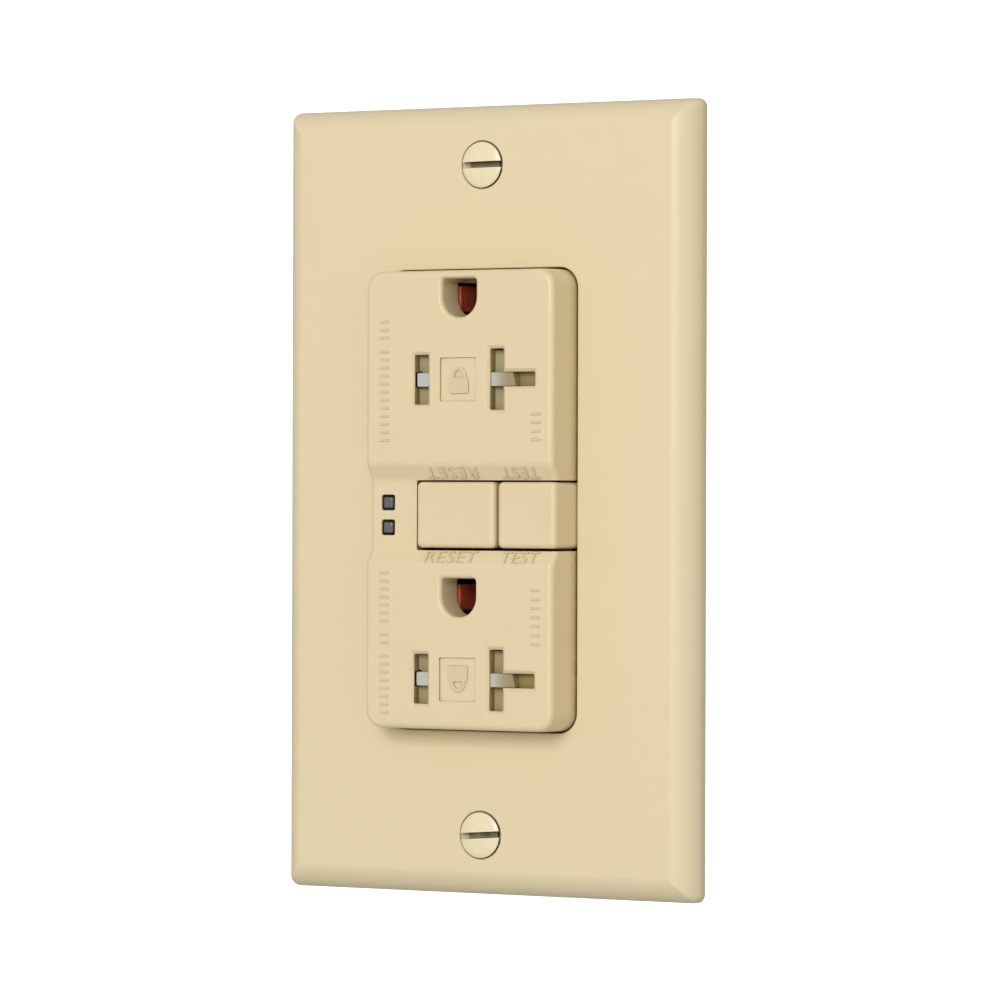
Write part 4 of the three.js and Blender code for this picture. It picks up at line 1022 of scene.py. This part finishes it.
def make_screws():
    for end, side, spin in (("top", 1, 1), ("bottom", -1, 4)):
        make_screw(f"plate_fixing_{end}", "plate", (0, -4.6, side * PLATE_SCREW_Z), (0, -1, 0),
                   f"plate_screw_{end}", "receptacle", "painted_screw", spin)
        make_screw(f"box_fixing_{end}", "box", (0, -1.5, side * BOX_SCREW_Z), (0, -1, 0),
                   f"box_screw_{end}", "receptacle", "zinc_steel", 35 * side)
    for sz, sx in reversed(CORNERS):
        corner = ("upper" if sz > 0 else "lower") + ("_right" if sx > 0 else "_left")
        seat, spin = (sx * SHELL_SCREW_X, 25.3, sz * SHELL_SCREW_Z), 20 + 37 * sx + 61 * sz
        make_screw(f"shell_screw_{corner}", "shell", seat, (0, 1, 0),
                   f"housing_screw_{corner}", "receptacle", "zinc_steel", spin, crossed=True)
    for pole, side, metal in (("hot", -1, "brass"), ("neutral", 1, "nickel")):
        for end, z in (("load", TERMINAL_Z), ("line", -TERMINAL_Z)):
            screw, seat = f"{end}_{pole}_screw", (side * 18.6, TERMINAL_Y, z)
            make_screw(f"{end}_{pole}_binding_screw", "terminal", seat, (side, 0, 0),
                       screw, screw, metal, 25 if side * z > 0 else -40, crossed=True)
    make_screw("ground_binding_screw", "ground", (-14.7, 6, -42), (-1, 0, 0),
               "ground_screw", "ground_screw", "green_screw", 15, crossed=True)


def make_springs():
    """Coil springs: each is a helix laid along its axis from its start point."""
    jobs = [("reset_coil", "reset_spring", (PIN_X, 5.6, BUTTON_Z), (0, -1, 0), (3.1, 0.5, 8.0, 6),
             "reset_press", 0.69),
            ("plunger_coil", "plunger_spring", (PIN_X, 14.0, 5.95), (0, 0, 1), (1.85, 0.4, 2.8, 4),
             "plunger_slide", 0.29)]
    for end, z in OUTLET_Z.items():
        jobs.append((f"{end}_shutter_coil", f"{end}_shutter_spring", (-13.8, -8.7, z), (1, 0, 0),
                     (0.7, 0.3, 6.3, 5), f"{end}_shutter_slide", 0.30))
    for name, node, start, along, size, joint, keep in jobs:
        coil = to_object(name, moved(helix_shell(*size), axis_frame(start, along)))
        finished(coil, "spring_steel", "receptacle", [node], angle=60)
        coil.modifiers.clear()
        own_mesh(coil)


# ---------------------------------------------------------------- shutters

def ramp_shell(x0, x1, low, high):
    """A block whose front is two slopes that meet in a fold half way across."""
    middle, back, left, fold, right = (x0 + x1) / 2, -8.0, -9.4, -8.7, -9.4
    return prism([
        (x0, back), (x0, left), (middle - 0.02, fold), (middle + 0.02, fold), (x1, right), (x1, back),
    ], 2, (low, high))


def make_shutters():
    """Each shutter has a folded ramp behind each blade slot, a floor behind the T's arm and a
    white tab across both, which ends in a slanted edge."""
    for end, z in OUTLET_Z.items():
        name = f"{end}_shutter"
        frame_block = soft_block((-5.2, 5.2), (-9.35, -7.9), (z - 5.3, z + 5.3), 0.15, 0.5)
        piece = to_object(f"{name}_ramps", frame_block)
        combined(piece, [soft_block((-3.9, 3.9), (-10, -7), (z - 4.6, z + 4.6), 0.1, 0.4)])
        ramps = [
            ramp_shell(-8.1, -4.4, z - 4.2, z + 4.2),
            ramp_shell(4.7, 8.2, z - 4.9, z + 4.2),
            soft_block((8.0, 13.4), (-9.0, -7.9), (z - 1.5, z + 1.5), 0.1),
        ]
        combined(piece, ramps, "UNION")
        notch = soft_block((-9, -7.3), (-10, -7), (z - 1.25, z + 1.25), 0.05, 0.2, front=False, back=False)
        combined(piece, [notch])
        # The ramps take the darkened ivory: painted shade inside the slots.
        finished(piece, "ivory_shutter", name, [name], angle=30)
        x0, x1 = -7.42, 9.4
        outline = corner_rect((x1 - x0) / 2, 1.0, 0.2, ((x0 + x1) / 2, z), 3)
        outline[:, 0] -= np.where(outline[:, 0] > 9, 0.25 + 0.25 * (outline[:, 1] - z), 0.0)
        inner = np.stack([
            outline[:, 0] + np.where(outline[:, 0] > 0, -0.05, 0.05),
            z + (outline[:, 1] - z) * 0.95], axis=-1)
        tab_rings = [at_depth(outline, -8.2), at_depth(outline, -10.3), at_depth(inner, -10.37)]
        tab = to_object(f"{name}_tab", loft(tab_rings))
        # The tab's finish fades into a painted shade along X.
        finished(tab, "tab_nylon", name, [], angle=45)


# ---------------------------------------------------------------- rear housing

SLOPE_W, SLOPE_D = 3.1, 5.4  # how far the slopes reach in from the sides and forward from the back


def wedge_shell(side, half_w, back, reach):
    """The cutter that slopes one long rear edge: a wedge carried along Z. It meets the side and the
    back on short curves, so that no sharp line is left."""
    inner, low = half_w - SLOPE_W, back - SLOPE_D
    section = np.array([
        (inner - 0.9, back + 0.02), (inner, back - 0.14), (inner + 0.5, back - 0.8),
        (half_w - 0.5, low + 0.8), (half_w - 0.1, low), (half_w + 0.02, low - 0.9),
        (half_w + 5, low - 0.9), (half_w + 5, back + 5), (inner - 0.9, back + 5),
    ])
    return prism(section * (side, 1), 2, (-reach, reach))


def hollow_shell(half_w, floor, half_h):
    """The space inside: a box whose long rear edges slope as the outside does."""
    inner, low = half_w - SLOPE_W, floor - SLOPE_D
    return prism([
        (-half_w, 5), (half_w, 5), (half_w, low), (inner, floor), (-inner, floor), (-half_w, low),
    ], 2, (-half_h, half_h))


def make_rear_housing():
    half_w, half_h, front, back = 21.5, 34.0, 8.5, 28.0
    edge, wall, floor = 1.0, 1.6, 26.2
    rings = []

    def ring(inset, y, corner=2.0):
        outline = corner_rect(half_w - inset, half_h - inset, max(corner - inset, 0.1), arc=7)
        rings.append(at_depth(outline, y))

    ring(0.1, front)
    ring(0, front + 0.1)
    for s, c in reversed(quarter(7)):
        ring(edge * (1 - s), back - edge * (1 - c))
    shell = to_object("housing_moulding", loft(rings))
    combined(shell, [hollow_shell(half_w - wall, floor, half_h - wall)])
    inner, holes = [], []
    for sx, sz in CORNERS:
        across, upright = sorted((sx * 14.2, sx * 20.1)), sorted((sz * 27.4, sz * 32.6))
        inner.append(soft_block(across, (20, 26.4), upright, 0.2, 0.6))
        inner.append(rod(1.5, 24.3, 26.4, sx * 11, sz * 23, 20))
        x, z = sx * SHELL_SCREW_X, sz * SHELL_SCREW_Z
        holes.append(rod(1.8, 7, 29, x, z, 24))
        recess = [(0, 0), (2.8, 0), (2.8, 2.6), (3.1, 3.0), (3.1, 5), (0, 5)]
        holes.append(turned(recess, axis_frame((x, 25, z), (0, 1, 0)), 32))
        middle = sz * TERMINAL_Z
        opening = sorted((sx * 18.9, sx * 22.5))
        holes.append(soft_block(opening, (9.7, 19.3), (middle - 5.4, middle + 5.4), 0.5, 0.6))
        for offset in (-2.9, 2.9):
            funnel = [(0, 0), (1.6, 0), (1.6, 1.9), (1.75, 2.3), (2.15, 2.8), (2.3, 4), (0, 4)]
            start = (sx * 15.8, 25.2, middle + offset)
            holes.append(turned(funnel, axis_frame(start, (0, 1, 0)), 28))
    # A sunk panel between the wire holes, a strip gauge, and sunk lines down the long sides.
    holes.append(soft_block((-11.5, 11.5), (27.6, 29), (-24.5, 24.5), 0.3, 1.2, back=False))
    for z in (-29.6, 29.6):
        holes.append(soft_block((-6.5, 6.5), (27.5, 29), (z - 0.55, z + 0.55), 0.15, 0.5, back=False))
    for sx in (-1, 1):
        groove = sorted((sx * 21.15, sx * 22.5))
        for z in (-27.5, -7, 0, 7, 27.5):
            holes.append(soft_block(groove, (10, 26), (z - 0.5, z + 0.5), 0.3, 0.4))
    holes += [wedge_shell(side, half_w, back, half_h + 1) for side in (-1, 1)]
    combined(shell, inner, "UNION")
    combined(shell, holes)
    finished(shell, "grey_plastic", "receptacle", ["rear_housing"], angle=30)


# ---------------------------------------------------------------- the other CAD nodes

# Finish and edge radius: the CAD nodes that wear them.
CAD_FINISHES = {
    ("copper", 0.08): ("test_leaf", "hot_contact_arm", "neutral_contact_arm"),
    ("copper", 0.1): ("upper_ground_contact", "lower_ground_contact"),
    ("grey_plastic", 0.1): ("upper_shutter_retainer", "lower_shutter_retainer"),
    ("grey_plastic", 0.2): ("mid_frame",),
    ("white_plastic", 0.15): ("led_upper", "led_lower"),
    ("white_plastic", 0.12): ("solenoid_bobbin", "core_carrier"),
    ("zinc_steel", 0.15): ("mounting_strap", "solenoid_plunger"),
    ("zinc_steel", 0.12): ("solenoid_frame",),
    ("zinc_steel", 0.06): ("latch_plate",),
    ("zinc_steel", 0.2): ("load_hot_clamp", "load_neutral_clamp", "line_hot_clamp", "line_neutral_clamp"),
    ("brass", 0.08): ("hot_bus", "neutral_bus"),
    ("brass", 0.1): ("line_hot_terminal", "line_neutral_terminal"),
    ("board_green", 0.1): ("circuit_board",),
    ("black_plastic", 0.15): ("control_chip", "lifter"),
    ("varistor_blue", 0.4): ("surge_varistor",),
    ("capacitor_yellow", 0.4): ("filter_capacitor",),
    ("copper_winding", 0.1): ("solenoid_winding",),
    ("ferrite", 0.2): ("differential_core", "neutral_core"),
}


def dress_nodes():
    """Gives every CAD node that is still shown its finish and small round edges."""
    for (look, edge), nodes in CAD_FINISHES.items():
        for node in nodes:
            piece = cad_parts[node]
            piece.data.materials.clear()
            piece.data.materials.append(finish(look))
            piece.modifiers.new("weld", "WELD").merge_threshold = 0.00001
            bevel = piece.modifiers.new("edges", "BEVEL")
            bevel.width = edge * MM
            bevel.segments = 2
            bevel.limit_method = "ANGLE"
            bevel.angle_limit = math.radians(35)
            bevel.harden_normals = False


# ---------------------------------------------------------------- stage

def paper_material(name, colour, glow_from, glow_to):
    """Matt paper that turns bright white far from the object, but only where the camera sees it
    directly, so that it lights nothing else. Distances are in metres."""
    material = bpy.data.materials.new(name)
    material.use_nodes = True
    tree = material.node_tree
    surface = tree.nodes["Principled BSDF"]
    surface.inputs["Base Color"].default_value = (*colour, 1)
    surface.inputs["Roughness"].default_value = 0.7
    surface.inputs["Specular IOR Level"].default_value = 0.2
    distance = tree.nodes.new("ShaderNodeVectorMath")
    distance.operation = "LENGTH"
    tree.links.new(object_place(tree), distance.inputs[0])
    far = remap(tree, distance.outputs["Value"], glow_from, glow_to)
    far.node.interpolation_type = "SMOOTHSTEP"
    direct = tree.nodes.new("ShaderNodeLightPath").outputs["Is Camera Ray"]
    tree.links.new(product(tree, far, direct), surface.inputs["Emission Color"])
    surface.inputs["Emission Strength"].default_value = 1.0
    return material


def area_light(name, place, size, power):
    """A square white light that faces the origin."""
    data = bpy.data.lights.new(name, "AREA")
    data.shape = "RECTANGLE"
    data.size, data.size_y = size, size
    data.energy = power
    lamp = bpy.data.objects.new(name, data)
    lamp.location = place
    lamp.rotation_euler = (-Vector(place)).to_track_quat("-Z", "Y").to_euler()
    bpy.context.scene.collection.objects.link(lamp)


def make_camera(sizes):
    """A long lens level with the origin, to the outlet's right."""
    turn, lift, roll = (math.radians(angle) for angle in (32.095, 0.076, 0.162))
    shift = 0.0002
    data = bpy.data.cameras.new("camera")
    data.lens = 208.5
    data.sensor_width = 36
    data.clip_start, data.clip_end = 0.05, 50
    camera = bpy.data.objects.new("camera", data)
    away = Vector((math.sin(turn) * math.cos(lift), -math.cos(turn) * math.cos(lift), math.sin(lift)))
    right = Vector((math.cos(turn), math.sin(turn), 0))
    camera.location = away * sizes.camera_distance + right * shift
    aim = (-away).to_track_quat("-Z", "Y").to_matrix()
    camera.rotation_euler = (aim @ Matrix.Rotation(roll, 3, "Z")).to_euler()
    bpy.context.scene.collection.objects.link(camera)
    bpy.context.scene.camera = camera


def make_stage():
    """A wide pale floor that curves up into a bright wall far behind, and soft light from the front."""
    scene = bpy.context.scene
    scene.view_settings.view_transform = "Standard"
    turn = np.linspace(0, math.pi / 2, 13)
    floor, reach, bend, top, half_w = -250.0, 2500.0, 1100.0, 2600, 3500
    flat = [-reach, -800, 0, 700, reach - bend]
    run = np.concatenate([flat, reach - bend + bend * np.sin(turn[1:]), [reach]])
    rise = np.concatenate([[floor] * len(flat), floor + bend * (1 - np.cos(turn[1:])), [top]])
    across = np.linspace(-half_w, half_w, 5)
    grid = np.stack(np.broadcast_arrays(across, run[:, None], rise[:, None]), axis=-1)
    faces = grid_faces(len(run), len(across), wrap_columns=False).tolist()
    sweep = to_object("studio_sweep", (grid.reshape(-1, 3), faces))
    sweep.data.materials.append(paper_material("studio paper", (0.66, 0.66, 0.66), 0.5, 1.6))
    sweep.data.polygons.foreach_set("use_smooth", np.ones(len(faces), bool))
    world = bpy.data.worlds.new("studio")
    world.use_nodes = True
    background = world.node_tree.nodes["Background"].inputs
    background["Color"].default_value = (1, 1, 1, 1)
    background["Strength"].default_value = 0.5
    scene.world = world
    area_light("key", (0.45, -1.9, 0.55), 0.8, 23)
    area_light("side", (1.7, -1.1, 0.3), 0.7, 1.0)


# ---------------------------------------------------------------- add-on

def size_property(name, description, default, least, most):
    """A length given in millimetres."""
    return bpy.props.FloatProperty(
        name=name, description=description, default=default * MM, min=least * MM, max=most * MM,
        unit="LENGTH", precision=5)


def colour_property(name, description, default):
    return bpy.props.FloatVectorProperty(
        name=name, description=description, default=default, size=3, min=0, max=1, subtype="COLOR")


class OutletSizes(bpy.types.PropertyGroup):
    plate_bevel: size_property("Plate bevel", "Width and depth of the plate's rounded border", 3.6, 1, 4)
    face_ease: size_property("Face edge", "Radius of the face cover's front edge", 0.85, 0.1, 1.2)
    slot_entry: size_property("Slot entry", "Width of the bevel round each blade slot", 0.5, 0.1, 0.8)
    button_ease: size_property("Button edge", "Radius of the buttons' front edges", 0.75, 0.2, 1)
    button_dish: size_property("Button dish", "How far a button's middle is sunk", 0.12, 0, 0.5)
    camera_distance: size_property("Camera distance", "From the camera to the window", 840.6, 300, 5000)


class OutletColours(bpy.types.PropertyGroup):
    plate: colour_property("Plate", "Colour of the wall plate", (0.76, 0.637, 0.403))
    ivory: colour_property("Face", "Colour of the face cover", (0.76, 0.62, 0.385))
    button: colour_property("Buttons", "Colour of the two buttons", (0.755, 0.612, 0.38))
    enamel: colour_property("Screw enamel", "Colour of the painted plate screws", (0.86, 0.735, 0.485))


class OUTLET_OT_wall_plate(bpy.types.Operator):
    """Make the bevelled wall plate with its countersinks and the ribs behind it"""
    bl_idname = "outlet.wall_plate"
    bl_label = "Wall plate"

    def execute(self, context):
        make_wall_plate(context.scene.outlet_sizes)
        return {"FINISHED"}


class OUTLET_OT_face_cover(bpy.types.Operator):
    """Make the face cover with its slots, ground holes, lamp windows and raised signs"""
    bl_idname = "outlet.face_cover"
    bl_label = "Face cover"

    def execute(self, context):
        make_lamps()
        make_face_cover(context.scene.outlet_sizes)
        return {"FINISHED"}


class OUTLET_OT_buttons(bpy.types.Operator):
    """Make the reset and test buttons and the reset button's pin"""
    bl_idname = "outlet.buttons"
    bl_label = "Buttons"

    def execute(self, context):
        make_buttons(context.scene.outlet_sizes)
        return {"FINISHED"}


class OUTLET_OT_screws(bpy.types.Operator):
    """Make every screw, with its thread and driver slot"""
    bl_idname = "outlet.screws"
    bl_label = "Screws"

    def execute(self, context):
        make_screws()
        return {"FINISHED"}


class OUTLET_OT_springs(bpy.types.Operator):
    """Make the four coil springs"""
    bl_idname = "outlet.springs"
    bl_label = "Springs"

    def execute(self, context):
        make_springs()
        return {"FINISHED"}


class OUTLET_OT_shutters(bpy.types.Operator):
    """Make the sliding shutters behind the blade slots"""
    bl_idname = "outlet.shutters"
    bl_label = "Shutters"

    def execute(self, context):
        make_shutters()
        return {"FINISHED"}


class OUTLET_OT_rear_housing(bpy.types.Operator):
    """Make the rear housing with its terminal openings and wire holes"""
    bl_idname = "outlet.rear_housing"
    bl_label = "Rear housing"

    def execute(self, context):
        make_rear_housing()
        return {"FINISHED"}


class OUTLET_OT_inner_parts(bpy.types.Operator):
    """Give the contacts, strap, shutters, board and trip parts their finishes and edges"""
    bl_idname = "outlet.inner_parts"
    bl_label = "Inner parts"

    def execute(self, context):
        dress_nodes()
        return {"FINISHED"}


class OUTLET_OT_stage(bpy.types.Operator):
    """Make the camera, the studio sweep and the lights"""
    bl_idname = "outlet.stage"
    bl_label = "Studio"

    def execute(self, context):
        make_camera(context.scene.outlet_sizes)
        make_stage()
        return {"FINISHED"}


OPERATORS = (
    OUTLET_OT_stage, OUTLET_OT_wall_plate, OUTLET_OT_face_cover, OUTLET_OT_buttons, OUTLET_OT_screws,
    OUTLET_OT_springs, OUTLET_OT_shutters, OUTLET_OT_rear_housing, OUTLET_OT_inner_parts,
)


class OUTLET_PT_pieces(bpy.types.Panel):
    bl_label = "Outlet"
    bl_idname = "OUTLET_PT_pieces"
    bl_space_type = "VIEW_3D"
    bl_region_type = "UI"
    bl_category = "Outlet"

    def draw(self, context):
        for group in (context.scene.outlet_sizes, context.scene.outlet_colours):
            for label in group.__annotations__:
                self.layout.prop(group, label)
        for operator in OPERATORS:
            self.layout.operator(operator.bl_idname)


CLASSES = (OutletSizes, OutletColours, *OPERATORS, OUTLET_PT_pieces)


def register():
    for cls in CLASSES:
        bpy.utils.register_class(cls)
    bpy.types.Scene.outlet_sizes = bpy.props.PointerProperty(type=OutletSizes)
    bpy.types.Scene.outlet_colours = bpy.props.PointerProperty(type=OutletColours)


def unregister():
    del bpy.types.Scene.outlet_sizes
    del bpy.types.Scene.outlet_colours
    for cls in reversed(CLASSES):
        bpy.utils.unregister_class(cls)


def main():
    register()
    bpy.ops.outlet.stage()
    bpy.ops.outlet.wall_plate()
    bpy.ops.outlet.face_cover()
    bpy.ops.outlet.buttons()
    bpy.ops.outlet.screws()
    bpy.ops.outlet.springs()
    bpy.ops.outlet.shutters()
    bpy.ops.outlet.rear_housing()
    bpy.ops.outlet.inner_parts()
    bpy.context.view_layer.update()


if __name__ == "__main__":
    main()
